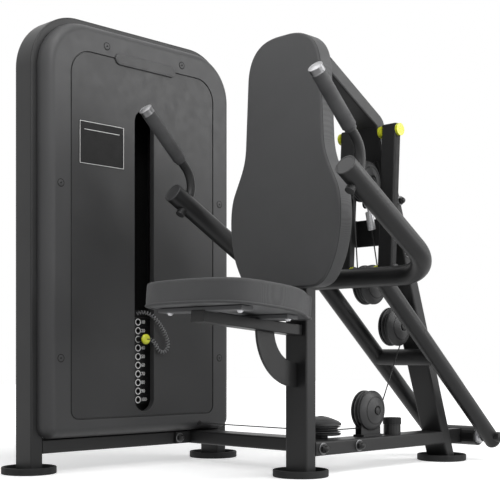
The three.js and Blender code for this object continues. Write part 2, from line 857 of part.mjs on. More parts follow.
// Seat: a beam that rises to the front with two cross plates, its curved gusset and the pad.
// The group's Y runs along the beam, from the post at zero to the front.
const seatGroup = new THREE.Group();
seatGroup.position.set(0, postFace, seatRootZ);
seatGroup.rotation.x = -THREE.MathUtils.degToRad(seatTilt);
const seatRoot = -seatBeamDeep / 2 * Math.tan(THREE.MathUtils.degToRad(seatTilt)) - seatGap;
const seatPadLow = seatBeamDeep / 2 + seatPlateRise;

function seatBeamSweep(extra) {
  return sweep(bentPath([inYZ(seatRoot, 0), inYZ(-seatBeamLength, 0)], []),
    boxSection(seatBeamWide, seatBeamDeep, seatBeamCorner, extra), xAxis);
}

function makeSeat() {
  machine.add(seatGroup);
  const half = seatPlateDeep / 2;
  const crossPlate = (length, y) => block(-length / 2, length / 2, y - half, y + half,
    seatPadLow - seatPlateThick, seatPadLow);
  const plates = [crossPlate(seatPlateFrontLength, half - seatBeamLength),
    crossPlate(seatPlateRearLength, -seatPlateRear)];
  add('seat_beam', join(seatBeamSweep(0), ...plates), materials.frame, seatGroup);

  const ring = [];
  for (let i = 0; i <= arcSteps; i++) {
    const angle = Math.PI * (1 + 0.5 * i / arcSteps);
    ring.push(new THREE.Vector2(gussetOuter * Math.cos(angle), gussetOuter * Math.sin(angle)));
  }
  for (let i = arcSteps; i >= 0; i--) {
    const angle = Math.PI * (1 + 0.5 * i / arcSteps);
    ring.push(new THREE.Vector2(gussetInner * Math.cos(angle), gussetInner * Math.sin(angle)));
  }
  const flat = slabAcrossX(ring, -gussetThick / 2, gussetThick / 2)
    .translate(0, postFace - seatGap, seatRootZ);
  seatGroup.updateMatrixWorld(true);
  const beam = seatBeamSweep(seatGap).applyMatrix4(seatGroup.matrixWorld);
  add('seat_gusset', cut(flat, beam, block(-overrun, overrun, -gussetOuter - boxWide, 0, seatRootZ,
    seatRootZ + overrun)), materials.frame);

  add('seat_pad', cushion(seatOutline(), seatPadThick, seatPadCrown, seatPadRoll)
    .translate(0, 0, seatPadLow + seatGap), materials.upholstery, seatGroup);
}

// Points along a closed outline drawn with curves, evenly spread
function outlinePoints(shape, count) {
  return shape.getSpacedPoints(count).slice(0, count);
}

function seatOutline() {
  const shape = new THREE.Shape();
  const { frontPull, hipPull, waistPull, tailRise, tailPull, tailFlat } = seatShares;
  const front = -seatPadFront;
  const back = -seatPadBack;
  const side = seatPadHalf;
  const tail = seatPadRearHalf;
  const hips = front + seatPadStraight;
  const tailY = back - tail * tailRise;
  shape.moveTo(0, front);
  shape.bezierCurveTo(side * frontPull, front, side, front + seatPadCorner, side, hips);
  shape.bezierCurveTo(side, hips * hipPull, side * waistPull, back - tail, tail, tailY);
  shape.quadraticCurveTo(tail * tailPull, back, tail * tailFlat, back);
  shape.lineTo(-tail * tailFlat, back);
  shape.quadraticCurveTo(-tail * tailPull, back, -tail, tailY);
  shape.bezierCurveTo(-side * waistPull, back - tail, -side, hips * hipPull, -side, hips);
  shape.bezierCurveTo(-side, front + seatPadCorner, -side * frontPull, front, 0, front);
  return outlinePoints(shape, seatPoints);
}

// Back pad outline in X and Z, anticlockwise seen from the front
function backOutline() {
  const shape = new THREE.Shape();
  const hips = backPadHips;
  const neck = backPadShoulders;
  const low = backPadBottom;
  const high = backPadBottom + backPadHeight;
  const at = (share) => low + backPadHeight * share;
  shape.moveTo(0, low);
  shape.lineTo(hips * 0.5, low);
  shape.bezierCurveTo(hips * 0.74, low, hips * 0.82, at(0.06), hips * 0.9, at(0.11));
  shape.bezierCurveTo(hips * 1.02, at(0.2), hips * 1.03, at(0.33), hips * 0.93, at(0.39));
  shape.bezierCurveTo(hips * 0.8, at(0.47), neck * 1.06, at(0.5), neck * 1.04, at(0.58));
  shape.lineTo(neck * 0.96, at(0.88));
  shape.bezierCurveTo(neck * 0.93, at(0.95), neck * 0.72, high, neck * 0.3, high);
  shape.lineTo(-neck * 0.3, high);
  shape.bezierCurveTo(-neck * 0.72, high, -neck * 0.93, at(0.95), -neck * 0.96, at(0.88));
  shape.lineTo(-neck * 1.04, at(0.58));
  shape.bezierCurveTo(-neck * 1.06, at(0.5), -hips * 0.8, at(0.47), -hips * 0.93, at(0.39));
  shape.bezierCurveTo(-hips * 1.03, at(0.33), -hips * 1.02, at(0.2), -hips * 0.9, at(0.11));
  shape.bezierCurveTo(-hips * 0.82, at(0.06), -hips * 0.74, low, -hips * 0.5, low);
  shape.lineTo(0, low);
  return outlinePoints(shape, backPoints);
}

// A cushion over a flat outline: drawn-in back edge, full sides, rolled front edge and a crown.
// Its back lies at zero and its crown points along +Z.
function cushion(outline, thick, crown, roll) {
  const count = outline.length;
  const middle = outline.reduce((sum, point) => sum.add(point), new THREE.Vector2()).divideScalar(count);
  const normals = outline.map((_, i) => {
    const along = outline[(i + 1) % count].clone().sub(outline[(i + count - 1) % count]).normalize();
    return new THREE.Vector2(along.y, -along.x);
  });
  const ring = (inset, z) => outline.map((point, i) =>
    new THREE.Vector3(point.x - normals[i].x * inset, point.y - normals[i].y * inset, z));
  const shrunk = (share, z) => outline.map((point, i) => {
    const edge = point.clone().addScaledVector(normals[i], -roll);
    edge.sub(middle).multiplyScalar(share).add(middle);
    return new THREE.Vector3(edge.x, edge.y, z);
  });
  const side = thick - crown;
  return skin([
    shrunk(0.5, 0), ring(roll * 0.7, 0), ring(roll * 0.2, thick * 0.07), ring(0, side * 0.35),
    ring(0, side * 0.6), ring(roll * 0.16, side * 0.86), ring(roll * 0.5, side * 0.97), ring(roll, side),
    shrunk(0.82, side + crown * 0.55), shrunk(0.5, side + crown * 0.9), shrunk(0.2, thick),
  ]);
}

function makeBackPad() {
  const turn = new THREE.Matrix4().makeBasis(
    new THREE.Vector3(1, 0, 0), new THREE.Vector3(0, 0, 1), new THREE.Vector3(0, -1, 0));
  const pad = cushion(backOutline(), backPadThick, backPadCrown, backPadRoll)
    .applyMatrix4(turn).translate(0, postFace - seatGap, 0);
  add('back_pad', pad, materials.upholstery);
}

// Press arm: bent bar, two struts, the tube between them, the pivot shaft and the handles
const pressPoints = [
  new THREE.Vector3(-armEndHalf, armEndY, armEndZ), new THREE.Vector3(-pressBarHalf, pressBarY, pressBarZ),
  new THREE.Vector3(pressBarHalf, pressBarY, pressBarZ), new THREE.Vector3(armEndHalf, armEndY, armEndZ),
];
const strutAngle = Math.atan2(pressBarZ - pivotZ, pivotY - pressBarY);
const strutLength = Math.hypot(pressBarZ - pivotZ, pivotY - pressBarY);

function pressTube(extra) {
  return tube(bentPath(pressPoints, [pressBend, pressBend]), pressRadius + extra);
}

function handleTube(side, extra) {
  const x = side * handleX;
  return tube(bentPath([inYZ(handleFootY, handleFootZ, x), inYZ(handleKneeY, handleKneeZ, x),
    inYZ(handleEndY, handleEndZ, x)], [handleBend]), handleRadius + extra, handleSides);
}

// A turned piece laid along a strut, measured up from the pivot
function alongStrut(geometry, x) {
  return geometry.rotateX(Math.PI / 2 - strutAngle).translate(x, pivotY, pivotZ);
}

function strutSolid(extra) {
  const radius = strutRadius + extra;
  return turned([[0, -strutTail], [radius - strutEdge * 2, -strutTail], [radius - strutEdge * 0.6,
    strutEdge * 0.5 - strutTail], [radius, strutEdge * 1.6 - strutTail], [radius, strutLength],
  [0, strutLength]], tubeSides);
}

function makePressArm() {
  const handleBores = [-1, 1].map((side) => handleTube(side, seatGap));
  add('press_bar', cut(pressTube(0), ...handleBores), materials.frame);
  const barCutter = pressTube(seatGap);
  const bore = rodAcross(shaftRadius + seatGap, -strutX * 2, strutX * 2, pivotY, pivotZ, boltSides);
  for (const [name, side] of [['press_strut_left', -1], ['press_strut_right', 1]]) {
    add(name, cut(alongStrut(strutSolid(0), side * strutX), barCutter, bore), materials.frame);
  }
  const crossY = pivotY - strutLength * crossTubeShare * Math.cos(strutAngle);
  const crossZ = pivotZ + strutLength * crossTubeShare * Math.sin(strutAngle);
  const cross = rodAcross(strutRadius, -strutX, strutX, crossY, crossZ, tubeSides);
  add('press_cross_tube', cut(cross, alongStrut(strutSolid(seatGap), -strutX),
    alongStrut(strutSolid(seatGap), strutX)), materials.frame);

  const inside = strutX - strutRadius - seatGap;
  const outside = strutX + strutRadius + seatGap;
  const half = [
    [shaftRadius, 0], [shaftRadius, housingHalf + runGap], [collarRadius, housingHalf + runGap],
    [collarRadius, housingHalf + runGap + collarLength], [shaftRadius + collarLength / 2,
      housingHalf + runGap + collarLength], [shaftRadius + collarLength / 2, inside], [shaftRadius, inside],
    [shaftRadius, outside], [nutRadius, outside], [nutRadius, outside + nutLength],
    [nutRadius / 2, outside + nutLength * 1.3], [0, outside + nutLength * 1.3],
  ];
  const mirrored = half.slice(1).reverse().map(([radius, height]) => [radius, -height]);
  const shaft = turned([...mirrored, ...half.slice(1)], boltSides).rotateY(Math.PI / 2);
  add('pivot_shaft', shaft, materials.steel).position.set(0, pivotY, pivotZ);

  const housing = rodAcross(housingRadius, -housingHalf, housingHalf, pivotY, pivotZ, tubeSides);
  const stub = block(-stubWide / 2, stubWide / 2, mastBaseY, pivotY, pivotZ - stubHigh / 2,
    pivotZ + stubHigh / 2);
  const stubBehind = cut(stub, mastSweep(seatGap));
  const housingBore = rodAcross(shaftRadius + runGap, -strutX, strutX, pivotY, pivotZ, boltSides);
  add('pivot_housing', cut(join(housing, largest(stubBehind)), housingBore), materials.frame);
}

// Keeps the piece that lies farthest back after a cut has left two
function largest(geometry) {
  const pieces = toSolid(geometry).decompose();
  return toGeometry(pieces.reduce((best, piece) => (piece.volume() > best.volume() ? piece : best)));
}

function makeHandles() {
  const direction = inYZ(handleEndY - handleKneeY, handleEndZ - handleKneeZ).normalize();
  const tilt = Math.atan2(-direction.y, direction.z);
  for (const [word, side] of [['left', -1], ['right', 1]]) {
    add('handle_' + word, handleTube(side, 0), materials.frame);
    const bore = handleRadius + seatGap;
    const start = gripEndWall - gripLength;
    const sleeve = turned([
      [bore, start], [gripRadius - gripLip, start], [gripRadius, start + gripLip],
      [gripRadius, gripEndWall - gripLip], [gripRadius - gripLip, gripEndWall], [0, gripEndWall],
      [0, seatGap], [bore, seatGap], [bore, start],
    ], tubeSides);
    add('grip_' + word, sleeve.rotateX(tilt), materials.rubber)
      .position.set(side * handleX, handleEndY, handleEndZ);
  }
}

// A grooved wheel on the X axis, whose groove clears the flats of a cable that is bent in steps
function wheel(groove, rim, half, sides = wheelSides) {
  const bottom = groove * Math.cos(Math.PI / 4 / bendSteps) - cableRadius - seatGap;
  const bore = axleRadius + runGap;
  return turned([[bore, -half], [rim, -half], [bottom, -half * 0.3], [bottom, half * 0.3], [rim, half],
    [bore, half], [bore, -half]], sides).rotateY(Math.PI / 2);
}

// A domed cover disc outside a cheek, with a dished hub and a bolt head
function cover(side) {
  const outer = cheekOut + coverRim;
  const hub = outer + coverDome;
  const dome = coverShares.map(([across, up]) => [coverRadius * across, outer + coverDome * up]);
  return turned([
    [0, cheekIn + cheekThick / 2], [coverRadius - cheekThick, cheekOut], [coverRadius, cheekOut],
    [coverRadius, outer], ...dome,
    [coverHub, hub], [coverHub - coverDish, hub - coverDish], [0, hub - coverDish],
  ], wheelSides).rotateY(side * Math.PI / 2);
}

// A bracket round an axle on X: cheeks down to a base plate, covers outside them. Its base lies along -Z.
function bracket(distance, half, withPlate) {
  const low = -distance + seatGap;
  const outline = [new THREE.Vector2(-half, low), new THREE.Vector2(half, low)];
  for (let i = 0; i <= arcSteps; i++) {
    const angle = Math.PI * i / arcSteps;
    outline.push(new THREE.Vector2(half * Math.cos(angle), half * Math.sin(angle)));
  }
  const pieces = [
    slabAcrossX(outline, -cheekOut, -cheekIn), slabAcrossX(outline, cheekIn, cheekOut),
    rodAcross(axleRadius, -cheekOut, cheekOut, 0, 0, smallSides), cover(-1), cover(1),
  ];
  if (withPlate) {
    pieces.push(block(-cheekOut - cheekFlange, cheekOut + cheekFlange, -half, half, low, low + cheekPlate));
  }
  return join(...pieces);
}

function mastGap(y, z) {
  const fromBase = (mastBaseY - y) * Math.cos(lean) - z * Math.sin(lean);
  return fromBase - boxDeep / 2;
}

function makeFramePulleys() {
  const wheelShape = () => wheel(grooveRadius, wheelRadius, wheelHalf);
  const stations = [
    ['base', basePulleyY, basePulleyZ, basePulleyZ - barTop, 0],
    ['mast', mastPulleyY, mastPulleyZ, mastGap(mastPulleyY, mastPulleyZ), Math.PI / 2 + lean],
    ['upper', upperPulleyY, upperPulleyZ, mastGap(upperPulleyY, upperPulleyZ), Math.PI / 2 + lean],
  ];
  for (const [word, y, z, distance, turn] of stations) {
    add('pulley_' + word, wheelShape(), materials.dark).position.set(0, y, z);
    let solid = bracket(distance, cheekHalf, true).rotateX(turn).translate(0, y, z);
    if (word === 'upper') solid = withBecket(solid);
    add('bracket_' + word, solid, materials.frame);
  }
}

// Ears below the upper pulley that hold the pin of the cable's end fitting
function withBecket(solid) {
  const outline = [];
  for (let i = 0; i <= arcSteps; i++) {
    const angle = Math.PI * (1 + i / arcSteps);
    const y = becketY + becketHalf * Math.cos(angle);
    outline.push(new THREE.Vector2(y, becketZ + becketHalf * Math.sin(angle)));
  }
  outline.push(new THREE.Vector2(becketY + becketHalf, upperPulleyZ), new THREE.Vector2(becketY - becketHalf,
    upperPulleyZ));
  const ears = [slabAcrossX(outline, -cheekOut, -cheekIn), slabAcrossX(outline, cheekIn, cheekOut)];
  const reach = cheekOut + becketHead;
  const pin = rodAcross(becketPin, -reach, reach, becketY, becketZ, smallSides);
  return join(solid, ...ears, pin);
}

// The pulley that travels with the press arm, and the lying one that turns the cable toward the tower
function makeOtherPulleys() {
  const reach = Math.hypot(pressPulleyY - pressBarY, pressPulleyZ - pressBarZ);
  const turn = Math.atan2(pressBarY - pressPulleyY, pressPulleyZ - pressBarZ);
  const carried = bracket(reach - pressRadius / 2, pressCheekHalf, false).rotateX(turn)
    .translate(0, pressPulleyY, pressPulleyZ);
  add('bracket_press', cut(carried, pressTube(seatGap)), materials.frame);
  add('pulley_press', wheel(grooveRadius, wheelRadius, wheelHalf), materials.dark)
    .position.set(0, pressPulleyY, pressPulleyZ);

  const down = cableLow - barTop - seatGap;
  add('bracket_corner', lyingPulleyBracket(down), materials.frame)
    .position.set(cornerPulleyX, cornerPulleyY, cableLow);
  add('pulley_corner', wheel(grooveRadius, wheelRadius, wheelHalf).rotateY(Math.PI / 2), materials.dark)
    .position.set(cornerPulleyX, cornerPulleyY, cableLow);
}

function lyingPulleyBracket(down) {
  const outer = cheekOut + coverRim;
  const upper = cover(1).rotateY(-Math.PI / 2);
  const lower = turned([[0, -outer], [coverRadius - cheekThick, -outer], [coverRadius, cheekThick - outer],
    [coverRadius, -cheekOut], [0, -cheekOut]], wheelSides);
  const spindle = rod(axleRadius, cheekOut * 2, smallSides).translate(0, 0, -cheekOut);
  const spacer = rod(spacerRadius, down - outer + coverRim / 2, tubeSides).translate(0, 0, -down);
  return join(upper, lower, spindle, spacer);
}

function makeTowerPulleys() {
  const low = wheel(towerGroove, towerGroove + towerRim, wheelHalf, boltSides).rotateZ(Math.PI / 2);
  add('pulley_tower_base', low, materials.dark).position.set(towerPulleyX, towerRunY, towerPulleyZ);
  for (const [word, y] of [['rear', headPulleyRear], ['front', headPulleyFront]]) {
    const shape = wheel(towerHeadGroove, towerHeadGroove + towerRim, wheelHalf, boltSides);
    add('pulley_tower_' + word, shape, materials.dark).position.set(towerX, y, towerHeadPulleyZ);
  }
}

// Cable. Every pulley from the end fitting to the base turns it clockwise seen from the +X side.
// The heading of the straight run between two such wheels, in the plane of Y and Z
function runHeading(from, to) {
  const span = new THREE.Vector2(to.y - from.y, to.z - from.z);
  return span.angle() + Math.asin((to.radius - from.radius) / span.length());
}

// Stations round one wheel between two headings, turning clockwise
function wrapStations(spot, enter, leave) {
  let swing = enter - leave;
  while (swing < 0) swing += 2 * Math.PI;
  while (swing >= 2 * Math.PI) swing -= 2 * Math.PI;
  const steps = Math.max(2, Math.ceil(swing / (Math.PI / 2) * bendSteps));
  return Array.from({ length: steps + 1 }, (_, i) => {
    const heading = enter - swing * i / steps;
    return {
      point: inYZ(spot.y - spot.radius * Math.sin(heading), spot.z + spot.radius * Math.cos(heading)),
      tangent: inYZ(Math.cos(heading), Math.sin(heading)),
    };
  });
}

const anchor = { y: becketY, z: becketZ, radius: 0 };
const pressSpot = { y: pressPulleyY, z: pressPulleyZ, radius: grooveRadius };
const upperSpot = { y: upperPulleyY, z: upperPulleyZ, radius: grooveRadius };
const mastSpot = { y: mastPulleyY, z: mastPulleyZ, radius: grooveRadius };
const baseSpot = { y: basePulleyY, z: basePulleyZ, radius: grooveRadius };
const anchorHeading = runHeading(anchor, pressSpot);

function makeCables() {
  const toUpper = runHeading(pressSpot, upperSpot);
  const toMast = runHeading(upperSpot, mastSpot);
  const toBase = runHeading(mastSpot, baseSpot);
  const drop = ferruleStart + ferruleLength + seatGap;
  const start = {
    point: inYZ(becketY + drop * Math.cos(anchorHeading), becketZ + drop * Math.sin(anchorHeading)),
    tangent: inYZ(Math.cos(anchorHeading), Math.sin(anchorHeading)),
  };
  const pressRun = [start, ...wrapStations(pressSpot, anchorHeading, toUpper),
    ...wrapStations(upperSpot, toUpper, 0)];
  add('cable_press_run', tube(pressRun, cableRadius, cordSides), materials.cable);

  const frameRun = [...wrapStations(upperSpot, 0, toMast), ...wrapStations(mastSpot, toMast, toBase),
    ...wrapStations(baseSpot, toBase, Math.PI)];
  frameRun[0].point.y += seatGap;
  const cableHigh = towerHeadPulleyZ + towerHeadGroove;
  const route = [
    inYZ(basePulleyY - grooveRadius, cableLow), inYZ(towerRunY, cableLow), inYZ(towerRunY, cableLow, towerX),
    inYZ(towerRunY, cableHigh, towerX), inYZ(towerY, cableHigh, towerX),
    inYZ(towerY, towerHeadPulleyZ - seatGap, towerX),
  ];
  const towardTower = bentPath(route, [grooveRadius, towerGroove, towerHeadGroove, towerHeadGroove]);
  add('cable_frame_run', tube([...frameRun, ...towardTower], cableRadius, cordSides), materials.cable);

  const hubTop = stackTop + topPlateThick + hubHeight + seatGap;
  const stackRun = rod(cableRadius, towerHeadPulleyZ - 2 * seatGap - hubTop, cordSides);
  add('cable_stack_run', stackRun, materials.cable).position.set(towerX, towerY, hubTop);
}

// Eye, shank and ferrule at the cable's end
function makeEndFitting() {
  const eye = rodAcross(eyeRadius, -eyeThick / 2, eyeThick / 2, 0, 0, tubeSides);
  const hole = rodAcross(becketPin + seatGap, -overrun, overrun, 0, 0, smallSides);
  const shank = rod(eyeShank, ferruleStart, smallSides);
  const end = ferruleStart + ferruleLength;
  const ferrule = turned([[0, ferruleStart], [ferruleRadius - ferruleBevel, ferruleStart],
    [ferruleRadius, ferruleStart + ferruleBevel], [ferruleRadius, end - ferruleBevel],
    [ferruleRadius - ferruleBevel, end], [0, end]], tubeSides);
  const solid = cut(join(eye, shank, ferrule), hole);
  add('cable_end_fitting', solid.rotateX(anchorHeading - Math.PI / 2), materials.steel)
    .position.set(0, becketY, becketZ);
}

// Rail cage: two rails bolted beside the mast's knee, a cross plate and its brace to the mast
function makeCage() {
  const section = boxSection(railWide, railDeep, railCorner);
  const rails = [-1, 1].map((side) => sweep(bentPath([inYZ(railBottomY, railBottomZ, side * railX),
    inYZ(railTopY, railTopZ, side * railX)], []), section, xAxis));
  const plate = block(-railX, railX, cagePlateY, cagePlateY + cagePlateDeep, cagePlateBottom, cagePlateTop);
  const arms = [-1, 1].map((side) => block(side * railX - cageArmThick / 2, side * railX + cageArmThick / 2,
    cageBoltY(cagePlateBottom), cagePlateY + cagePlateDeep, cagePlateBottom, cagePlateTop));
  const braces = [-1, 1].map((side) => {
    const inner = side * braceIn;
    const outer = side * braceOut;
    const bar = block(Math.min(inner, outer), Math.max(inner, outer), cagePlateY, mastPoint(braceBottom).y,
      braceBottom, braceTop);
    return cut(bar, mastSweep(seatGap));
  });
  const bores = [cageBoltTopZ, cageBoltBottomZ].map((z) =>
    rodAcross(cageBoltRadius + seatGap, -boxWide * 2, boxWide * 2, cageBoltY(z), z, boltSides));
  add('rail_cage', cut(join(...rails, plate, ...arms, ...braces), ...bores), materials.frame);

  const inner = railX - railWide / 2 - seatGap;
  const outer = railX + railWide / 2 + seatGap;
  const spacerStart = beamHalf + seatGap;
  const half = [
    [cageBoltRadius, 0], [cageBoltRadius, spacerStart], [cageCapRadius, spacerStart], [cageCapRadius, inner],
    [cageBoltRadius, inner], [cageBoltRadius, outer], [cageCapRadius, outer],
    [cageCapRadius, outer + cageCapLength], [0, outer + cageCapLength],
  ];
  const mirrored = half.slice(1).reverse().map(([radius, height]) => [radius, -height]);
  add('cage_bolt_top', turned([...mirrored, ...half.slice(1)], boltSides).rotateY(Math.PI / 2),
    materials.yellow).position.set(0, cageBoltY(cageBoltTopZ), cageBoltTopZ);
  const single = [[0, spacerStart], ...half.slice(2)];
  for (const [word, side] of [['left', -1], ['right', 1]]) {
    add('cage_bolt_' + word, turned(single, boltSides).rotateY(side * Math.PI / 2), materials.yellow)
      .position.set(0, cageBoltY(cageBoltBottomZ), cageBoltBottomZ);
  }
}

makeFeet();
makeTowerFrame();
makeTowerHead();
makeShrouds();
makeStack();
makeTether();
makeMast();
makeBase();
makeSeatPost();
makeSeat();
makeBackPad();
makePressArm();
makeHandles();
makeFramePulleys();
makeOtherPulleys();
makeTowerPulleys();
makeCables();
makeEndFitting();
makeCage();

export default machine;
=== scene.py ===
import json
import math

import bmesh
import bpy
from mathutils import Matrix, Vector

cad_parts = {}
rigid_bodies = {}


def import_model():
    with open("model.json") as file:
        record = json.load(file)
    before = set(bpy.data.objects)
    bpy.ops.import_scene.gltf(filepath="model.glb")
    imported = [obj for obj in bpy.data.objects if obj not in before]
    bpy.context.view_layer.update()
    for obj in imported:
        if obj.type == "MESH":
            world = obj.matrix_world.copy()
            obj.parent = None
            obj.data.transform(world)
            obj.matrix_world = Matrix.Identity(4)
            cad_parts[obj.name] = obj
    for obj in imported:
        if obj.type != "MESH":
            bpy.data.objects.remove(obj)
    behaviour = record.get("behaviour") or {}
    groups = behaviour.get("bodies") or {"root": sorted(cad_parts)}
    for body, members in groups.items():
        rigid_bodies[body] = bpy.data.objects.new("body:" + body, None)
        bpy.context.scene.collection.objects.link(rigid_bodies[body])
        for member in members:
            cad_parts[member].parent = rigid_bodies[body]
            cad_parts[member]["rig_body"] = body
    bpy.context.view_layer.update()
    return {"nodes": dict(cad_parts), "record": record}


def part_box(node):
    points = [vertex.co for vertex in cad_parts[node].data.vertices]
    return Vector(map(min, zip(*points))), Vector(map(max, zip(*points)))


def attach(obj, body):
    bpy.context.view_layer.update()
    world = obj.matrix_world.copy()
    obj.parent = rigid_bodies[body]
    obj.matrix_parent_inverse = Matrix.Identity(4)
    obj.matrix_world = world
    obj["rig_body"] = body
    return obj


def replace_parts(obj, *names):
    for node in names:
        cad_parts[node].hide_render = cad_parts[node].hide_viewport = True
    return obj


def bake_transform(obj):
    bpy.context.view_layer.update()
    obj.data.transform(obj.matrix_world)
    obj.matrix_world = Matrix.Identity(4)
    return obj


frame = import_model()

MM = 0.001
UP = Vector((0, 0, 1))
RIGHT = Vector((1, 0, 0))
FRONT = Vector((0, -1, 0))

# Camera, solved from the level and upright edges of the photo, in the frame of the CAD
CAMERA_PLACE = (2.008, -2.229, 0.333)
CAMERA_TURN = 44.7
CAMERA_LENS = 77.7
CAMERA_SHIFT = 0.2128
CAMERA_SENSOR = 36
CAMERA_REACH = 30


def make_camera():
    data = bpy.data.cameras.new("camera")
    data.lens = CAMERA_LENS
    data.sensor_width = CAMERA_SENSOR
    data.shift_y = CAMERA_SHIFT
    data.clip_end = CAMERA_REACH
    camera = bpy.data.objects.new("camera", data)
    camera.location = CAMERA_PLACE
    camera.rotation_euler = (math.pi / 2, 0, math.radians(CAMERA_TURN))
    bpy.context.scene.collection.objects.link(camera)
    bpy.context.scene.camera = camera


# ---- Materials ----


class Nodes:
    """Short calls for building one material's node tree."""

    def __init__(self, name, roughness, metallic=0.0, specular=0.5):
        self.material = bpy.data.materials.new(name)
        self.material.use_nodes = True
        self.tree = self.material.node_tree
        self.shader = self.tree.nodes["Principled BSDF"]
        self.shader.inputs["Roughness"].default_value = roughness
        self.shader.inputs["Metallic"].default_value = metallic
        self.shader.inputs["Specular IOR Level"].default_value = specular
        self.place = self.node("ShaderNodeTexCoord").outputs["Object"]

    def node(self, kind, **values):
        made = self.tree.nodes.new(kind)
        for key, value in values.items():
            if hasattr(made, key):
                setattr(made, key, value)
            else:
                made.inputs[key.replace("_", " ")].default_value = value
        return made

    def link(self, out, into):
        self.tree.links.new(out, into)

    def stretched(self, scale):
        mapping = self.node("ShaderNodeMapping")
        mapping.inputs["Scale"].default_value = scale
        self.link(self.place, mapping.inputs["Vector"])
        return mapping.outputs["Vector"]

    def noise(self, scale, detail=3.0, place=None):
        made = self.node("ShaderNodeTexNoise", Scale=scale, Detail=detail)
        self.link(place or self.place, made.inputs["Vector"])
        return made.outputs["Fac"]

    def cells(self, scale):
        made = self.node("ShaderNodeTexVoronoi", Scale=scale)
        self.link(self.place, made.inputs["Vector"])
        return made.outputs["Distance"]

    def ramp(self, value, low, high, from_low=0.3, from_high=0.7):
        made = self.node("ShaderNodeMapRange", From_Min=from_low, From_Max=from_high, To_Min=low, To_Max=high)
        self.link(value, made.inputs["Value"])
        return made.outputs["Result"]

    def blend(self, value, dark, light):
        made = self.node("ShaderNodeMix", data_type="RGBA")
        made.inputs[6].default_value = (*dark, 1)
        made.inputs[7].default_value = (*light, 1)
        self.link(value, made.inputs[0])
        return made.outputs[2]

    def colour(self, out):
        self.link(out, self.shader.inputs["Base Color"])

    def rough(self, out):
        self.link(out, self.shader.inputs["Roughness"])

    def bump(self, height, strength, distance):
        made = self.node("ShaderNodeBump", Strength=strength, Distance=distance)
        self.link(height, made.inputs["Height"])
        previous = self.shader.inputs["Normal"].links
        if previous:
            self.link(previous[0].from_socket, made.inputs["Normal"])
        self.link(made.outputs["Normal"], self.shader.inputs["Normal"])


def grey(value, tint=1.02):
    return (value, value, value * tint)


def painted(name, tone, roughness=0.42):
    """Satin powder coat: fine orange peel, faint mottling and handling marks."""
    m = Nodes(name, roughness, specular=0.28)
    broad = m.noise(7, 4)
    m.colour(m.blend(m.ramp(broad, 0, 1), grey(tone * 0.9), grey(tone * 1.1)))
    m.rough(m.ramp(m.noise(14, 3), roughness - 0.03, roughness + 0.05))
    m.bump(m.noise(900, 2), 0.04, 0.0002)
    return m.material


def moulded(name, tone, roughness=0.55, grain=1400):
    """Moulded plastic with a fine spark-eroded grain."""
    m = Nodes(name, roughness, specular=0.32)
    m.colour(m.blend(m.ramp(m.noise(5, 3), 0, 1), grey(tone * 0.95), grey(tone * 1.05)))
    m.rough(m.ramp(m.noise(40, 4), roughness - 0.04, roughness + 0.06))
    m.bump(m.cells(grain), 0.12, 0.0002)
    return m.material


def vinyl(name, tone):
    """Upholstery vinyl with a fine woven emboss and soft tonal drift."""
    m = Nodes(name, 0.56, specular=0.2)
    m.shader.inputs["Sheen Weight"].default_value = 0.12
    m.shader.inputs["Sheen Roughness"].default_value = 0.5
    weave = m.node("ShaderNodeTexWave", Scale=420, Distortion=1.2)
    m.link(m.place, weave.inputs["Vector"])
    grain = m.cells(620)
    both = m.node("ShaderNodeMath", operation="ADD")
    m.link(weave.outputs["Fac"], both.inputs[0])
    m.link(grain, both.inputs[1])
    m.colour(m.blend(m.ramp(both.outputs["Value"], 0, 1, 0.2, 1.3), grey(tone * 0.82), grey(tone * 1.12)))
    m.rough(m.ramp(m.noise(18, 4), 0.5, 0.64))
    m.bump(both.outputs["Value"], 0.22, 0.0004)
    m.bump(m.noise(9, 2), 0.12, 0.004)
    return m.material


def rubbery(name, tone, roughness=0.7):
    m = Nodes(name, roughness, specular=0.25)
    m.colour(m.blend(m.ramp(m.noise(16, 5), 0, 1), grey(tone * 0.8), grey(tone * 1.25)))
    m.rough(m.ramp(m.noise(60, 4), roughness - 0.08, roughness + 0.1))
    m.bump(m.noise(700, 3), 0.18, 0.0004)
    return m.material


def brushed(name, tone, roughness=0.28, stretch=(4, 4, 260), metallic=1.0):
    """Bright steel with drawn marks."""
    m = Nodes(name, roughness, metallic)
    marks = m.noise(12, 6, m.stretched(stretch))
    m.colour(m.blend(m.ramp(marks, 0, 1), grey(tone * 0.86), grey(tone)))
    m.rough(m.ramp(marks, roughness - 0.08, roughness + 0.12))
    m.bump(marks, 0.08, 0.0002)
    return m.material


def glossy(name, dark, light, roughness=0.3):
    m = Nodes(name, roughness)
    m.colour(m.blend(m.ramp(m.noise(30, 3), 0, 1), dark, light))
    m.rough(m.ramp(m.noise(80, 3), roughness - 0.05, roughness + 0.1))
    m.bump(m.noise(300, 2), 0.05, 0.0002)
    return m.material


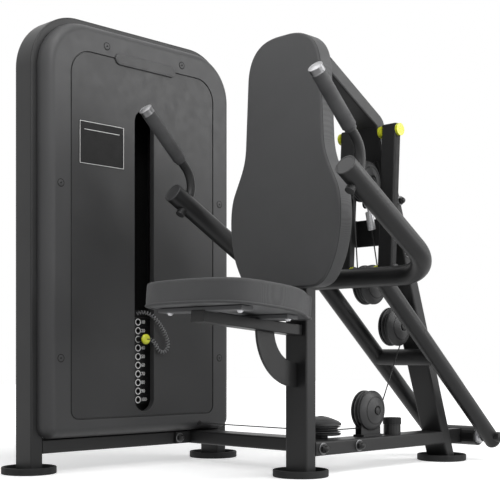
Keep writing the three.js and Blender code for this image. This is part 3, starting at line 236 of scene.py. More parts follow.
PAINT = painted("frame_paint", 0.019, 0.4)
SHROUD = moulded("shroud_plastic", 0.05, 0.46)
PANEL = moulded("panel_plastic", 0.031, 0.42)
VINYL = vinyl("upholstery", 0.066)
# Darker vinyl for the seams' grooves: painted shade
SEAM_SHADE = vinyl("upholstery_seam_shade", 0.04)
RUBBER = rubbery("rubber", 0.018)
GRIP = rubbery("grip_rubber", 0.07, 0.6)
BLACK = moulded("black_plastic", 0.014, 0.4)
# Near-black of the placard and grommet, also laid on as painted shade round screws, in grooves, on rails and inside
# the shrouds
SIGN_AND_SHADE = moulded("sign_and_shade_plastic", 0.006, 0.7)
COVER = moulded("cover_plastic", 0.042, 0.42)
# Pale grey for the wheels' flanges: painted highlight on their rims
FLANGE_HIGHLIGHT = moulded("flange_highlight_plastic", 0.13, 0.36)
CORD = moulded("cord_plastic", 0.19, 0.34)
IRON = painted("plate_iron", 0.012, 0.36)
STEEL = brushed("bright_steel", 0.8, 0.3, metallic=0.6)
YELLOW = glossy("yellow_plastic", (0.62, 0.66, 0.02), (0.78, 0.8, 0.04))
SHEATH = moulded("cable_sheath", 0.03, 0.4)
WHITE = glossy("label_white", (0.86, 0.86, 0.85), (0.94, 0.94, 0.93), 0.45)
# The boards' own grey, lightened as painted bounce light from the floor below
BOARD_AND_BOUNCE = moulded("pad_board_and_bounce", 0.15, 0.5)
CAP = brushed("grip_cap", 0.36, 0.46)
SLEEVE = brushed("grip_sleeve", 0.2, 0.34)
ROD = brushed("guide_rod", 0.22, 0.3)

NODE_MATERIALS = {
    "frame_paint": PAINT,
    "shroud_plastic": SHROUD,
    "panel_plastic": PANEL,
    "upholstery": VINYL,
    "rubber": RUBBER,
    "black_plastic": BLACK,
    "plate_iron": IRON,
    "bright_steel": STEEL,
    "yellow_plastic": YELLOW,
    "cable_sheath": SHEATH,
}
SPECIAL = {"guide_rod_front": ROD, "guide_rod_rear": ROD}
# Nodes whose picked faces have a second finish: outer nuts, the pin's neck, the bolts' middles, and a black band on
# the knob that is painted shade
TWO_TONED_AND_SHADE = {
    "pivot_shaft": (BLACK, lambda x, y, z: abs(x) > 0.1),
    # The narrow band from the knob's middle is painted shade: a black slit where the cord goes in
    "selector_pin": (BLACK, lambda x, y, z: x < -0.526 or (abs(z - 0.3852) < 0.0017 and y > -0.1235)),
    "cage_bolt_top": (ROD, lambda x, y, z: abs(x) < 0.042),
    "cage_bolt_right": (COVER, lambda x, y, z: x < 0.042 or x > 0.1),
    "cage_bolt_left": (ROD, lambda x, y, z: x > -0.042),
}
SMOOTH_ANGLE = math.radians(32)
FLAT_COSINE = 0.99995


def dress_cad():
    """Gives every CAD node its finish and soft shading on its curved faces."""
    for part in frame["record"]["subparts"]:
        node = frame["nodes"][part["node"]]
        finish = SPECIAL.get(part["node"], NODE_MATERIALS[part["material_slot"]])
        node.data.materials.clear()
        node.data.materials.append(finish)
        if part["node"] in TWO_TONED_AND_SHADE:
            second, picks = TWO_TONED_AND_SHADE[part["node"]]
            node.data.materials.append(second)
            for face in node.data.polygons:
                face.material_index = 1 if picks(*face.center) else 0
        shade(node)


def shade(piece):
    """Smooth shading across soft edges, in which wide facets keep their own direction."""
    mesh = piece.data
    mesh.polygons.foreach_set("use_smooth", [True] * len(mesh.polygons))
    mesh.set_sharp_from_angle(angle=SMOOTH_ANGLE)
    bm = bmesh.new()
    bm.from_mesh(mesh)
    bm.faces.ensure_lookup_table()
    facet = flat_facets(bm)
    area = {}
    for face in bm.faces:
        area[facet[face.index]] = area.get(facet[face.index], 0.0) + face.calc_area()
    normals = [Vector((0, 0, 1))] * len(mesh.loops)
    for vert in bm.verts:
        waiting = set(vert.link_faces)
        while waiting:
            fan = [waiting.pop()]
            for face in fan:
                for edge in face.edges:
                    if vert in edge.verts and edge.smooth:
                        fresh = [other for other in edge.link_faces if other in waiting]
                        waiting.difference_update(fresh)
                        fan += fresh
            parts = {facet[face.index]: face.normal for face in fan}
            total = sum((normal * area[key] for key, normal in parts.items()), Vector())
            if total.length == 0:
                total = fan[0].normal
            for face in fan:
                for loop in face.loops:
                    if loop.vert is vert:
                        normals[loop.index] = total.normalized()
    bm.free()
    mesh.normals_split_custom_set(normals)


def flat_facets(bm):
    """A number for each face, shared by neighbours that lie in one plane."""
    facet = [-1] * len(bm.faces)
    for start in bm.faces:
        if facet[start.index] >= 0:
            continue
        facet[start.index] = start.index
        spread = [start]
        for face in spread:
            for edge in face.edges:
                for other in edge.link_faces:
                    if facet[other.index] < 0 and other.normal.dot(start.normal) > FLAT_COSINE:
                        facet[other.index] = start.index
                        spread.append(other)
    return facet


# ---- Pieces ----


def loose_piece(bm, name, material):
    mesh = bpy.data.meshes.new(name)
    bmesh.ops.recalc_face_normals(bm, faces=bm.faces)
    bm.to_mesh(mesh)
    bm.free()
    mesh.materials.append(material)
    piece = bpy.data.objects.new(name, mesh)
    bpy.context.scene.collection.objects.link(piece)
    shade(piece)
    return piece


def piece_from(bm, name, material, body):
    """A shaded piece that rides on a body."""
    piece = loose_piece(bm, name, material)
    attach(piece, body)
    return piece


def painted_piece(bm, name, body="frame"):
    return piece_from(bm, name, PAINT, body)


def trim_piece(bm, name, material):
    return piece_from(bm, name, material, "frame")


def turned(bm, profile, place, axis, sides=32, unit=MM):
    """Adds a lathe of (radius, height) points, in millimetres or another unit, at place along axis."""
    turn = UP.rotation_difference(Vector(axis).normalized()).to_matrix()
    rings = []
    for radius, height in profile:
        ring = []
        for k in range(sides if radius > 0 else 1):
            angle = 2 * math.pi * k / sides
            point = Vector((radius * unit * math.cos(angle), radius * unit * math.sin(angle), height * unit))
            ring.append(bm.verts.new(Vector(place) + turn @ point))
        rings.append(ring)
    for low, high in zip(rings, rings[1:]):
        for k in range(sides):
            a, b = low[k % len(low)], low[(k + 1) % len(low)]
            c, d = high[(k + 1) % len(high)], high[k % len(high)]
            corners = list(dict.fromkeys((a, b, c, d)))
            if len(corners) > 2:
                bm.faces.new(corners)


# Profiles of a domed nut, as shares of its size
WASHER_PROFILE = [(0, 0), (1.25, 0), (1.3, 0.06), (1.3, 0.14), (1.22, 0.2), (0, 0.2)]
HEXAGON_PROFILE = [(0, 0), (0.98, 0), (0.98, 0.65), (0.8, 0.75), (0, 0.75)]
DOME_PROFILE = [(0.78, 0), (0.7, 0.3), (0.45, 0.55), (0, 0.66)]


def domed_nut(washers, nuts, place, axis, size):
    """A washer, and a hexagon with a dome on it."""
    out = Vector(axis).normalized() * size
    turned(washers, WASHER_PROFILE, place, axis, 40, size)
    turned(nuts, HEXAGON_PROFILE, Vector(place) + out * 0.2, axis, 6, size)
    turned(nuts, DOME_PROFILE, Vector(place) + out * 0.9, axis, 24, size)


def swept(bm, points, radius, sides=12):
    """Adds a closed round tube along points, whose own frame turns as little as it can."""
    spots = [Vector(point) for point in points]
    headings = [(b - a).normalized() for a, b in zip(spots, spots[1:])]
    tangents = [headings[0]] + [(a + b).normalized() for a, b in zip(headings, headings[1:])] + [headings[-1]]
    sweep(bm, zip(spots, tangents), circle(radius, sides), tangents[0].orthogonal())


def rounded(u0, u1, v0, v1, low, high, steps=12):
    """Points, in metres, of a rounded rectangle given in millimetres, anticlockwise. Its corners have the
    radius low at v0 and high at v1."""
    made = []
    for u, v, radius, start in ((u1 - low, v0 + low, low, -0.5), (u1 - high, v1 - high, high, 0),
                                (u0 + high, v1 - high, high, 0.5), (u0 + low, v0 + low, low, 1)):
        for k in range(steps + 1):
            angle = math.pi * (start + 0.5 * k / steps)
            made.append(((u + radius * math.cos(angle)) * MM, (v + radius * math.sin(angle)) * MM))
    return made


def circle(radius, sides):
    return [(radius * math.cos(2 * math.pi * k / sides), radius * math.sin(2 * math.pi * k / sides))
            for k in range(sides)]


def loft(bm, rings, closed=False):
    """Skins rings of equal counts, in metres. A closed loft joins its last ring to its first."""
    made = [[bm.verts.new(point) for point in ring] for ring in rings]
    pairs = list(zip(made, made[1:])) + ([(made[-1], made[0])] if closed else [])
    for low, high in pairs:
        for k in range(len(low)):
            bm.faces.new((low[k], low[(k + 1) % len(low)], high[(k + 1) % len(low)], high[k]))
    if not closed:
        bm.faces.new(made[0])
        bm.faces.new(made[-1])


def bent(points, radii, steps=20):
    """Places and headings along straight runs, in millimetres, that bends of the given radii join."""
    spots = [Vector(point) * MM for point in points]
    headings = [(b - a).normalized() for a, b in zip(spots, spots[1:])]
    made = [(spots[0], headings[0])]
    for spot, before, after, radius in zip(spots[1:], headings, headings[1:], radii):
        turn = before.angle(after)
        axis = before.cross(after).normalized()
        start = spot - before * radius * MM * math.tan(turn / 2)
        centre = start + axis.cross(before) * radius * MM
        for k in range(steps + 1):
            swing = Matrix.Rotation(turn * k / steps, 3, axis)
            made.append((centre + swing @ (start - centre), swing @ before))
    return made + [(spots[-1], headings[-1])]


def sweep(bm, stations, section, first=RIGHT):
    """Carries a flat section, in metres, along places and headings."""
    across = first.copy()
    rings = []
    for spot, heading in stations:
        across = (across - heading * across.dot(heading)).normalized()
        side = heading.cross(across)
        rings.append([spot + across * u + side * v for u, v in section])
    loft(bm, rings)


# ---- Upholstery ----


def bezier(points, steps):
    """Points of one cubic or quadratic Bezier, without its last."""
    spots = [Vector(point) for point in points]
    made = []
    for k in range(steps):
        level = spots
        share = k / steps
        while len(level) > 1:
            level = [a.lerp(b, share) for a, b in zip(level, level[1:])]
        made.append(level[0])
    return made


def even(points, count):
    """Points that part an open line into count equal lengths."""
    marks = [0.0]
    for a, b in zip(points, points[1:]):
        marks.append(marks[-1] + (b - a).length)
    made = []
    k = 0
    for i in range(count + 1):
        want = marks[-1] * i / count
        while k < len(points) - 2 and marks[k + 1] < want:
            k += 1
        made.append(points[k].lerp(points[k + 1], (want - marks[k]) / (marks[k + 1] - marks[k])))
    return made


def closed_outline(start, curves, count=200):
    """A closed outline, evenly spaced and mirrored in X, in metres. Its right half runs from start through
    Bezier curves of (steps, further control points), in millimetres."""
    right, last = [], start
    for steps, points in curves:
        right += bezier([last] + points, steps)
        last = points[-1]
    right = [point * MM for point in right + [Vector(last)]]
    left = [Vector((-point.x, point.y)) for point in reversed(right[1:-1])]
    return even(right + left + right[:1], count)[:-1]


SEAM_LEVEL = 5
BACK_SEAM, SEAT_SEAM = 1.1 * MM, 0.15 * MM
PAD_FOOT, BOARD_INSET, BOARD_DEEP = 3 * MM, 11 * MM, 1.5 * MM
CROWN_SHARES = (0.985, 0.96, 0.9, 0.8, 0.65, 0.5, 0.35, 0.2, 0.02)


def cushion(name, outline, levels, crown, turn, node):
    """A pad from rings: a recessed board at the back, sides, a sewn edge and a crowned face."""
    count = len(outline)
    middle = sum(outline, Vector((0, 0))) / count
    normals = []
    for k in range(count):
        along = (outline[(k + 1) % count] - outline[k - 1]).normalized()
        normals.append(Vector((along.y, -along.x)))
    bm = bmesh.new()

    def ring(inset, height, share=1.0):
        made = []
        for point, normal in zip(outline, normals):
            spot = middle + (point - normal * inset - middle) * share
            made.append(bm.verts.new(turn @ Vector((spot.x, spot.y, height))))
        return made

    rings = [ring(BOARD_INSET, BOARD_DEEP, share) for share in (0.02, 0.6, 1)] + [ring(BOARD_INSET, 0)]
    board_rings = 2
    rings += [ring(inset, height) for inset, height in levels]
    edge, top = levels[-1]
    for share in CROWN_SHARES:
        rings.append(ring(edge, top + crown * (1 - share ** 4), share))
    groove = board_rings + 2 + SEAM_LEVEL
    for index, (low, high) in enumerate(zip(rings, rings[1:])):
        for k in range(count):
            face = bm.faces.new((low[k], low[(k + 1) % count], high[(k + 1) % count], high[k]))
            # The seam's groove takes the darker vinyl as painted shade
            face.material_index = 1 if index < board_rings else 2 if groove <= index < groove + 3 else 0
    bm.faces.new(rings[0]).material_index = 1
    bm.faces.new(rings[-1])
    body = frame["nodes"][node]["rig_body"]
    piece = piece_from(bm, name, VINYL, body)
    piece.data.materials.append(BOARD_AND_BOUNCE)
    piece.data.materials.append(SEAM_SHADE)
    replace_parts(piece, node)
    return piece


def add_welt(name, outline, height, radius, turn, node):
    """A sewn roll of vinyl round a pad's lower edge."""
    rings = []
    for k, point in enumerate(outline):
        along = (outline[(k + 1) % len(outline)] - outline[k - 1]).normalized()
        out = Vector((along.y, -along.x, 0))
        centre = Vector((point.x, point.y, height)) - out * radius * 0.3
        rings.append([turn @ (centre + out * u + UP * v) for u, v in circle(radius, 12)])
    bm = bmesh.new()
    loft(bm, rings, closed=True)
    piece_from(bm, name, VINYL, frame["nodes"][node]["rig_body"])


def sewn_levels(thick, roll, foot, seam=BACK_SEAM):
    """Insets and heights up a pad's side: the wrapped foot, the side, the seam's groove and the rolled edge."""
    levels = [(foot, 0), (foot * 0.4, 0.6 * foot), (0.3 * MM, 1.6 * foot), (0, 0.4 * thick)]
    start = thick - roll
    levels += [(0, start - 3 * seam), (0.2 * MM, start - 1.5 * seam), (1.6 * seam, start - 0.6 * seam),
               (1.6 * seam, start - 0.3 * seam), (0.3 * MM, start + 0.8 * seam)]
    for k in range(1, 6):
        angle = 0.5 * math.pi * k / 5
        levels.append((roll * (1 - math.cos(angle)), start + roll * math.sin(angle)))
    return levels


BACK_THICK, BACK_ROLL, BACK_CROWN = 55 * MM, 6 * MM, 3 * MM
BACK_PLANE = -20.3 * MM
BACK_CURVES = [
    (4, [(101.5, 519)]),
    (12, [(150.22, 519), (166.46, 560.64), (182.7, 595.34)]),
    (16, [(207.06, 657.8), (209.09, 748.02), (188.79, 789.66)]),
    (14, [(162.4, 845.18), (145.22, 866), (142.48, 921.52)]),
    (10, [(132.89, 1108.9)]),
    (18, [(126.04, 1174.83), (90.42, 1209.53), (16.44, 1209.53)]),
    (1, [(0, 1209.53)]),
]


def make_back_pad():
    turn = Matrix(((1, 0, 0), (0, 0, -1), (0, 1, 0))).to_4x4()
    turn.translation = Vector((0, BACK_PLANE, 0))
    levels = sewn_levels(BACK_THICK, BACK_ROLL, PAD_FOOT)
    cushion("back_cushion", closed_outline((0, 519), BACK_CURVES), levels, BACK_CROWN, turn, "back_pad")


SEAT_TURN = Matrix.Rotation(-math.radians(4.67), 3, "X")
SEAT_FRAME = Matrix.Translation((0, -20 * MM, 405 * MM)) @ SEAT_TURN.to_4x4()
SEAT_LOW = 23.3
SEAT_THICK, SEAT_ROLL, SEAT_CROWN = 63 * MM, 8 * MM, 6 * MM
SEAT_CURVES = [
    (40, [(181.24, -435), (197, -399), (197, -285)]),
    (24, [(197, -171), (137.9, -122), (98, -58.3)]),
    (8, [(88.2, -24), (49, -24)]),
    (1, [(0, -24)]),
]


def make_seat_pad():
    turn = SEAT_FRAME @ Matrix.Translation((0, 0, SEAT_LOW * MM))
    outline = closed_outline((0, -435), SEAT_CURVES)
    levels = sewn_levels(SEAT_THICK, SEAT_ROLL, PAD_FOOT, SEAT_SEAM)
    cushion("seat_cushion", outline, levels, SEAT_CROWN, turn, "seat_pad")
    add_welt("seat_welt", outline, 3.4 * MM, 3.2 * MM, turn, "seat_pad")


# ---- Labels, bare plates and small fittings ----

TOWER_X, TOWER_Y = -603 * MM, -125.5 * MM
PLATE_FACE = TOWER_X + 48 * MM
PLATE_COUNT, PLATE_PITCH, STACK_LOW, PLATE_THICK = 10, 26.4 * MM, 187.4 * MM, 26 * MM
CARRIED = 3
LABEL_RING = [(8, 0), (10.7, 0), (10.7, 0.3), (8, 0.3), (8, 0)]
LABEL_HEIGHT = 14.5 * MM
PANEL_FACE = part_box("front_panel")[1].x
SHROUD_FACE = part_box("front_shroud")[1].x


def number(name, words, place, size, body):
    """A plain printed number that faces +X."""
    data = bpy.data.curves.new(name, "FONT")
    data.body = words
    data.size = size
    data.align_y = "CENTER"
    data.extrude = 0.1 * MM
    data.offset = 0.25 * MM
    data.materials.append(WHITE)
    text = bpy.data.objects.new(name, data)
    text.location = place
    text.rotation_euler = (math.pi / 2, 0, math.pi / 2)
    bpy.context.scene.collection.objects.link(text)
    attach(text, body)


def add_plate_labels():
    """A printed ring round each plate's pin hole and its number beside it."""
    rings = {"stack": bmesh.new(), "frame": bmesh.new()}
    for row in range(PLATE_COUNT):
        from_top = PLATE_COUNT - 1 - row
        body = "stack" if from_top < CARRIED else "frame"
        z = STACK_LOW + row * PLATE_PITCH + PLATE_THICK / 2
        turned(rings[body], LABEL_RING, (PLATE_FACE + 0.05 * MM, TOWER_Y, z), RIGHT)
        number(f"plate_number_{from_top + 1}", str(10 * (from_top + 1)),
               (PLATE_FACE + 0.15 * MM, TOWER_Y + 12.5 * MM, z), LABEL_HEIGHT, body)
    for body, bm in rings.items():
        piece_from(bm, f"plate_rings_{body}", WHITE, body)


def panel_slab(bm, half_wide, half_high, corner, low, high, middle, bevel=0):
    """A rounded plate between two heights over the panel's face, all in millimetres."""
    levels = [(low, 0), (high - bevel, 0), (high, bevel)] if bevel else [(low, 0), (high, 0)]
    rings = []
    for height, inset in levels:
        wide, tall, radius = half_wide - inset, half_high - inset, corner - inset
        outline = rounded(middle[0] - wide, middle[0] + wide, middle[1] - tall, middle[1] + tall, radius, radius, 8)
        rings.append([(PANEL_FACE + height * MM, y, z) for y, z in outline])
    loft(bm, rings)


NAME_PLATE, PLACARD = (-128, 1213), (-293.5, 950)
# Half width, half height and place of each line on the placard
PLACARD_LINES = ((80, 0.6, 0, 60.4), (80, 0.6, 0, -60.4), (0.6, 60, 79.4, 0), (0.6, 60, -79.4, 0), (64, 0.7, 0, 38))


def add_signs():
    """The name plate and the placard, both without words."""
    pill, inlay, card, lines = bmesh.new(), bmesh.new(), bmesh.new(), bmesh.new()
    panel_slab(pill, 116.5, 17, 16.9, 0.1, 5, NAME_PLATE, 1.2)
    panel_slab(inlay, 112.5, 13, 12.9, 4.9, 5.5, NAME_PLATE, 0.3)
    trim_piece(pill, "bare_name_plate", SHROUD)
    trim_piece(inlay, "bare_name_inlay", PANEL)
    panel_slab(card, 81, 61.5, 2, 0.1, 1.6, PLACARD, 0.3)
    trim_piece(card, "bare_placard", SIGN_AND_SHADE)
    for wide, high, y, z in PLACARD_LINES:
        panel_slab(lines, wide, high, 0.5, 1.55, 1.85, (PLACARD[0] + y, PLACARD[1] + z))
    trim_piece(lines, "placard_lines", WHITE)


SCREW_SPOTS = ((-275, 1242), (18, 1242), (-438, 824), (180, 824), (-438, 328), (180, 328))
SCREW_CAP = [(0, -1), (9.2, -1), (9.2, 0.5), (8.4, 1.1), (3.4, 1.4), (2.8, 0.2), (0, 0.2)]
# A flat black ring round each cap and a black disc in its socket: painted shade
SCREW_SHADE_RING = [(9.3, -1), (11.8, -1), (11.8, 0.15), (9.3, 0.15), (9.3, -1)]
SCREW_SOCKET_SHADE = [(0, 0.25), (2.6, 0.25), (2.6, 0.5), (0, 0.5)]


def add_shroud_screws():
    """Countersunk caps on both shrouds, each with a flat black ring round it and a black disc in its socket, both
    painted shade.
    """
    for name, face, side in (("front", SHROUD_FACE, 1), ("rear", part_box("rear_shroud")[0].x, -1)):
        caps, rims = bmesh.new(), bmesh.new()
        for y, z in SCREW_SPOTS:
            place = (face, y * MM, z * MM)
            turned(caps, SCREW_CAP, place, (side, 0, 0))
            turned(rims, SCREW_SHADE_RING, place, (side, 0, 0))
            turned(rims, SCREW_SOCKET_SHADE, place, (side, 0, 0), 6)
        trim_piece(caps, f"shroud_caps_{name}", SHROUD)
        trim_piece(rims, f"shroud_cap_shade_{name}", SIGN_AND_SHADE)


# ---- Cable and pin cord, on the routes of the CAD ----

CABLE_RADIUS = 2 * MM
GROOVE = 51 * MM
# Wheels that the cable runs round: Y, Z and groove radius. The becket is the axle of the cable's end fitting.
BECKET = (299 * MM, 786 * MM, 0.0)
PRESS_PULLEY = (305 * MM, 546 * MM, GROOVE)
UPPER_PULLEY = (278 * MM, 850 * MM, GROOVE)
MAST_PULLEY = (428 * MM, 424 * MM, GROOVE)
BASE_PULLEY = (299 * MM, 173 * MM, GROOVE)
STACK_CABLE = (1204.4 * MM, 504.6 * MM)
FITTING_END = 78.3 * MM
CABLE_STEP = 12 * MM


def run_heading(start, end):
    """Heading in Y and Z of the straight run between two wheels that the cable turns clockwise."""
    dy, dz = end[0] - start[0], end[1] - start[1]
    return math.atan2(dz, dy) % (2 * math.pi) + math.asin((end[2] - start[2]) / math.hypot(dy, dz))


def wrap(wheel, enter, leave, steps=24):
    """Points of the cable round a wheel, between two headings."""
    swing = (enter - leave) % (2 * math.pi)
    made = []
    for k in range(steps + 1):
        heading = enter - swing * k / steps
        made.append(Vector((0, wheel[0] - wheel[2] * math.sin(heading), wheel[1] + wheel[2] * math.cos(heading))))
    return made


def close_points(points, step=CABLE_STEP):
    """The same line with more points on its long straight runs."""
    made = [points[0]]
    for a, b in zip(points, points[1:]):
        count = max(1, math.ceil((b - a).length / step))
        made += [a.lerp(b, k / count) for k in range(1, count + 1)]
    return made


def cable_piece(name, points):
    bm = bmesh.new()
    swept(bm, close_points(points), CABLE_RADIUS)
    return loose_piece(bm, name, SHEATH)


def make_press_cable():
    start = run_heading(BECKET, PRESS_PULLEY)
    upward = run_heading(PRESS_PULLEY, UPPER_PULLEY)
    first = Vector((0, BECKET[0] + FITTING_END * math.cos(start), BECKET[1] + FITTING_END * math.sin(start)))
    points = [first] + wrap(PRESS_PULLEY, start, upward) + wrap(UPPER_PULLEY, upward, 0)
    cable = cable_piece("press_cable", points)
    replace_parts(cable, "cable_press_run")
    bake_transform(cable)


def make_stack_cable():
    high, low = STACK_CABLE
    cable = cable_piece("stack_cable", [Vector((TOWER_X, TOWER_Y, high)), Vector((TOWER_X, TOWER_Y, low))])
    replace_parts(cable, "cable_stack_run")
    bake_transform(cable)


TETHER_ROUTE = [
    (-548, -137, 464), (-535, -121, 467), (-518, -108, 461), (-505, -96, 445), (-501, -80, 425),
    (-500, -64, 402), (-500, -53, 377), (-500, -54, 358), (-501, -70, 346), (-502, -87, 351),
    (-504, -97, 367), (-509, -102, 378), (-519, -103, 385),
]
TETHER_CURLS, TETHER_COIL, TETHER_WIRE = 29, 5 * MM, 1.5 * MM
TETHER_STEPS, TETHER_LOW = 16, 358 * MM


def smooth_line(route, per_span=24):
    """A centripetal curve through the points of a route given in millimetres."""
    spots = [Vector(point) * MM for point in route]
    spots = [spots[0] * 2 - spots[1]] + spots + [spots[-1] * 2 - spots[-2]]
    made = []
    for a, b, c, d in zip(spots, spots[1:], spots[2:], spots[3:]):
        marks = [0.0]
        for near, far in ((a, b), (b, c), (c, d)):
            marks.append(marks[-1] + math.sqrt((far - near).length))
        for k in range(per_span):
            t = marks[1] + (marks[2] - marks[1]) * k / per_span

            def mix(near, far, first, last):
                return near.lerp(far, (t - marks[first]) / (marks[last] - marks[first]))

            ab, bc, cd = mix(a, b, 0, 1), mix(b, c, 1, 2), mix(c, d, 2, 3)
            made.append(mix(mix(ab, bc, 0, 2), mix(bc, cd, 1, 3), 1, 2))
    return made + [spots[-2]]


def coil_round(line, curls, radius):
    """A helix round a line."""
    across = (line[1] - line[0]).orthogonal().normalized()
    made = []
    for k, spot in enumerate(line):
        tangent = (line[min(k + 1, len(line) - 1)] - line[max(k - 1, 0)]).normalized()
        across = (across - tangent * across.dot(tangent)).normalized()
        angle = 2 * math.pi * curls * k / (len(line) - 1)
        made.append(spot + (across * math.cos(angle) + tangent.cross(across) * math.sin(angle)) * radius)
    return made


def make_tether():
    line = even(smooth_line(TETHER_ROUTE), TETHER_CURLS * TETHER_STEPS)
    path = coil_round(line, TETHER_CURLS, TETHER_COIL)
    bm = bmesh.new()
    swept(bm, path, TETHER_WIRE, 8)
    tether = loose_piece(bm, "pin_cord", CORD)
    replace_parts(tether, "pin_tether")
    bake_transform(tether)


# ---- Fasteners and end caps ----

# Radii of the engraved ring in the covers, painted black as its shade
GROOVE_SHADE_RING = (38.7 * MM, 42 * MM)
COVER_PROFILE = [(58.9, 11.3), (58.9, 16.8), (58.2, 17.9), (56.5, 19.2), (50.6, 23.8), (41.9, 27.4), (41, 26.6),
                 (39.4, 26.8), (38.6, 28.7), (28.3, 32.8), (17.6, 36.1), (16.2, 36.5), (15, 36.3), (14.6, 35.2),
                 (14.4, 32.6), (0, 32.4)]
BUTTON_PROFILE = [(10.4, 32.2), (10.4, 35.6), (9.6, 37), (7.6, 37.9), (4.6, 38.4), (0, 38.6)]
# A black ring in the recess round the button: painted shade
HUB_SHADE_RING = [(14.3, 32.3), (12.6, 32.3), (12.2, 34.2), (13.2, 35.2), (14.3, 34.6), (14.3, 32.3)]

FLANGE_PROFILE = [(54, 6.2), (57.4, 6.2), (58, 6.8), (57.4, 7.4), (54, 7.6), (54, 6.2)]
BOTH_SIDES = ((-1, 0, 0), (1, 0, 0))
# Each covered pulley: its name, the body of its covers, its middle and the axes of its covers
COVERED = (
    ("base", "frame", (0, *BASE_PULLEY[:2]), BOTH_SIDES),
    ("mast", "frame", (0, *MAST_PULLEY[:2]), BOTH_SIDES),
    ("upper", "frame", (0, *UPPER_PULLEY[:2]), BOTH_SIDES),
    ("press", "press_arm", (0, *PRESS_PULLEY[:2]), BOTH_SIDES),
    ("corner", "frame", (-51 * MM, 144.7 * MM, 122 * MM), ((0, 0, 1),)),
)


def add_pulley_covers():
    """Flanges on the wheels in a pale grey that is painted highlight, domed covers whose engraved ring is painted
    black as shade, and the dark buttons in their hubs, each with a black ring of painted shade in its recess.
    """
    for name, _, spot, axes in COVERED:
        rims = bmesh.new()
        for side in (-1, 1):
            turned(rims, [(radius, side * height) for radius, height in FLANGE_PROFILE], spot, axes[0], 64)
        piece_from(rims, f"pulley_flange_highlights_{name}", FLANGE_HIGHLIGHT, f"{name}_pulley")
    for name, body, spot, axes in COVERED:
        covers, hubs = bmesh.new(), bmesh.new()
        for axis in axes:
            turned(covers, COVER_PROFILE, spot, axis, 64)
            turned(hubs, BUTTON_PROFILE, spot, axis)
            turned(hubs, HUB_SHADE_RING, spot, axis, 48)
        cover = piece_from(covers, f"pulley_covers_{name}", COVER, body)
        paint_groove_shade(cover, Vector(spot), Vector(axes[0]))
        piece_from(hubs, f"pulley_hubs_and_shade_{name}", BLACK, body)


def paint_groove_shade(cover, spot, axis):
    """Paints the ring engraved in a pulley's cover black, as the engraving's shade."""
    cover.data.materials.append(SIGN_AND_SHADE)
    for face in cover.data.polygons:
        away = face.center - spot
        radius = (away - axis * away.dot(axis)).length
        face.material_index = 1 if GROOVE_SHADE_RING[0] < radius < GROOVE_SHADE_RING[1] else 0


def seat_place(x, y, z):
    """A point of the tilted seat, in the frame."""
    return SEAT_FRAME @ Vector((x, y, z))


SEAT_BAR_LOW = 12.5
SEAT_BEAM_ROOT, SEAT_BEAM_TIP = -1.6 * MM, -368 * MM
SEAT_BEAM_HALF = (25, 15)
# Place along the seat and half length of each cross bar, and the bolts in them
SEAT_BARS = ((-348, 155), (-150, 123))
SEAT_BOLTS = ((-130, -348), (130, -348), (-108, -150), (108, -150))
SEAT_BOLT_PROFILE = [(0, 0), (9, 0), (9, 1.5), (7, 1.6), (6.4, 4.5), (4, 6), (0, 6.2)]


def make_seat_beam():
    """The box tube under the seat and the two flat bars across it."""
    bm, bars = bmesh.new(), bmesh.new()
    wide, high = SEAT_BEAM_HALF
    ends = [(seat_place(0, y, 0), SEAT_TURN @ FRONT) for y in (SEAT_BEAM_ROOT, SEAT_BEAM_TIP)]
    sweep(bm, ends, rounded(-wide, wide, -high, high, 3, 3, 5))
    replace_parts(painted_piece(bm, "seat_carrier"), "seat_beam")
    bar = rounded(-20, 20, SEAT_BAR_LOW, SEAT_LOW, 1.5, 1.5, 3)
    for y, half in SEAT_BARS:
        loft(bars, [[seat_place(side * half * MM, y * MM + u, v) for u, v in bar] for side in (-1, 1)])
    # The painted steel bars take the pale board tone as painted light from below
    trim_piece(bars, "seat_cross_bars", BOARD_AND_BOUNCE)


def add_seat_bolts():
    bm = bmesh.new()
    for x, y in SEAT_BOLTS:
        turned(bm, SEAT_BOLT_PROFILE, seat_place(x * MM, y * MM, SEAT_BAR_LOW * MM), SEAT_TURN @ -UP, 24)
    trim_piece(bm, "seat_bolts", STEEL)


HANDLE_X = 314
HANDLE_ROUTE = [(-168, 741), (-102.4, 834.4), (-295, 1020)]
HANDLE_FOOT, HANDLE_KNEE, HANDLE_TIP = (Vector((0, y, z)) * MM for y, z in HANDLE_ROUTE)
GRIP_PROFILE = [(13, -183), (15.6, -183), (16, -182), (16, -176), (15.4, -175), (15.4, -174), (18.2, -173.6),
                (19, -172.4), (19, -15.6), (18.2, -14.6), (13, -14.6)]
SLEEVE_PROFILE = [(13, -14.4), (18.6, -14.4), (19.1, -13.8), (19.1, -12), (18.5, -11.4), (18.5, 0.4),
                  (19.2, 1), (19.2, 1.6)]
CAP_PROFILE = [(19.2, 1.7), (19.7, 2.1), (19.7, 3.2), (19, 4), (17.6, 4.3), (17, 3.9), (12, 5.4), (6, 6.2),
               (0, 6.4)]


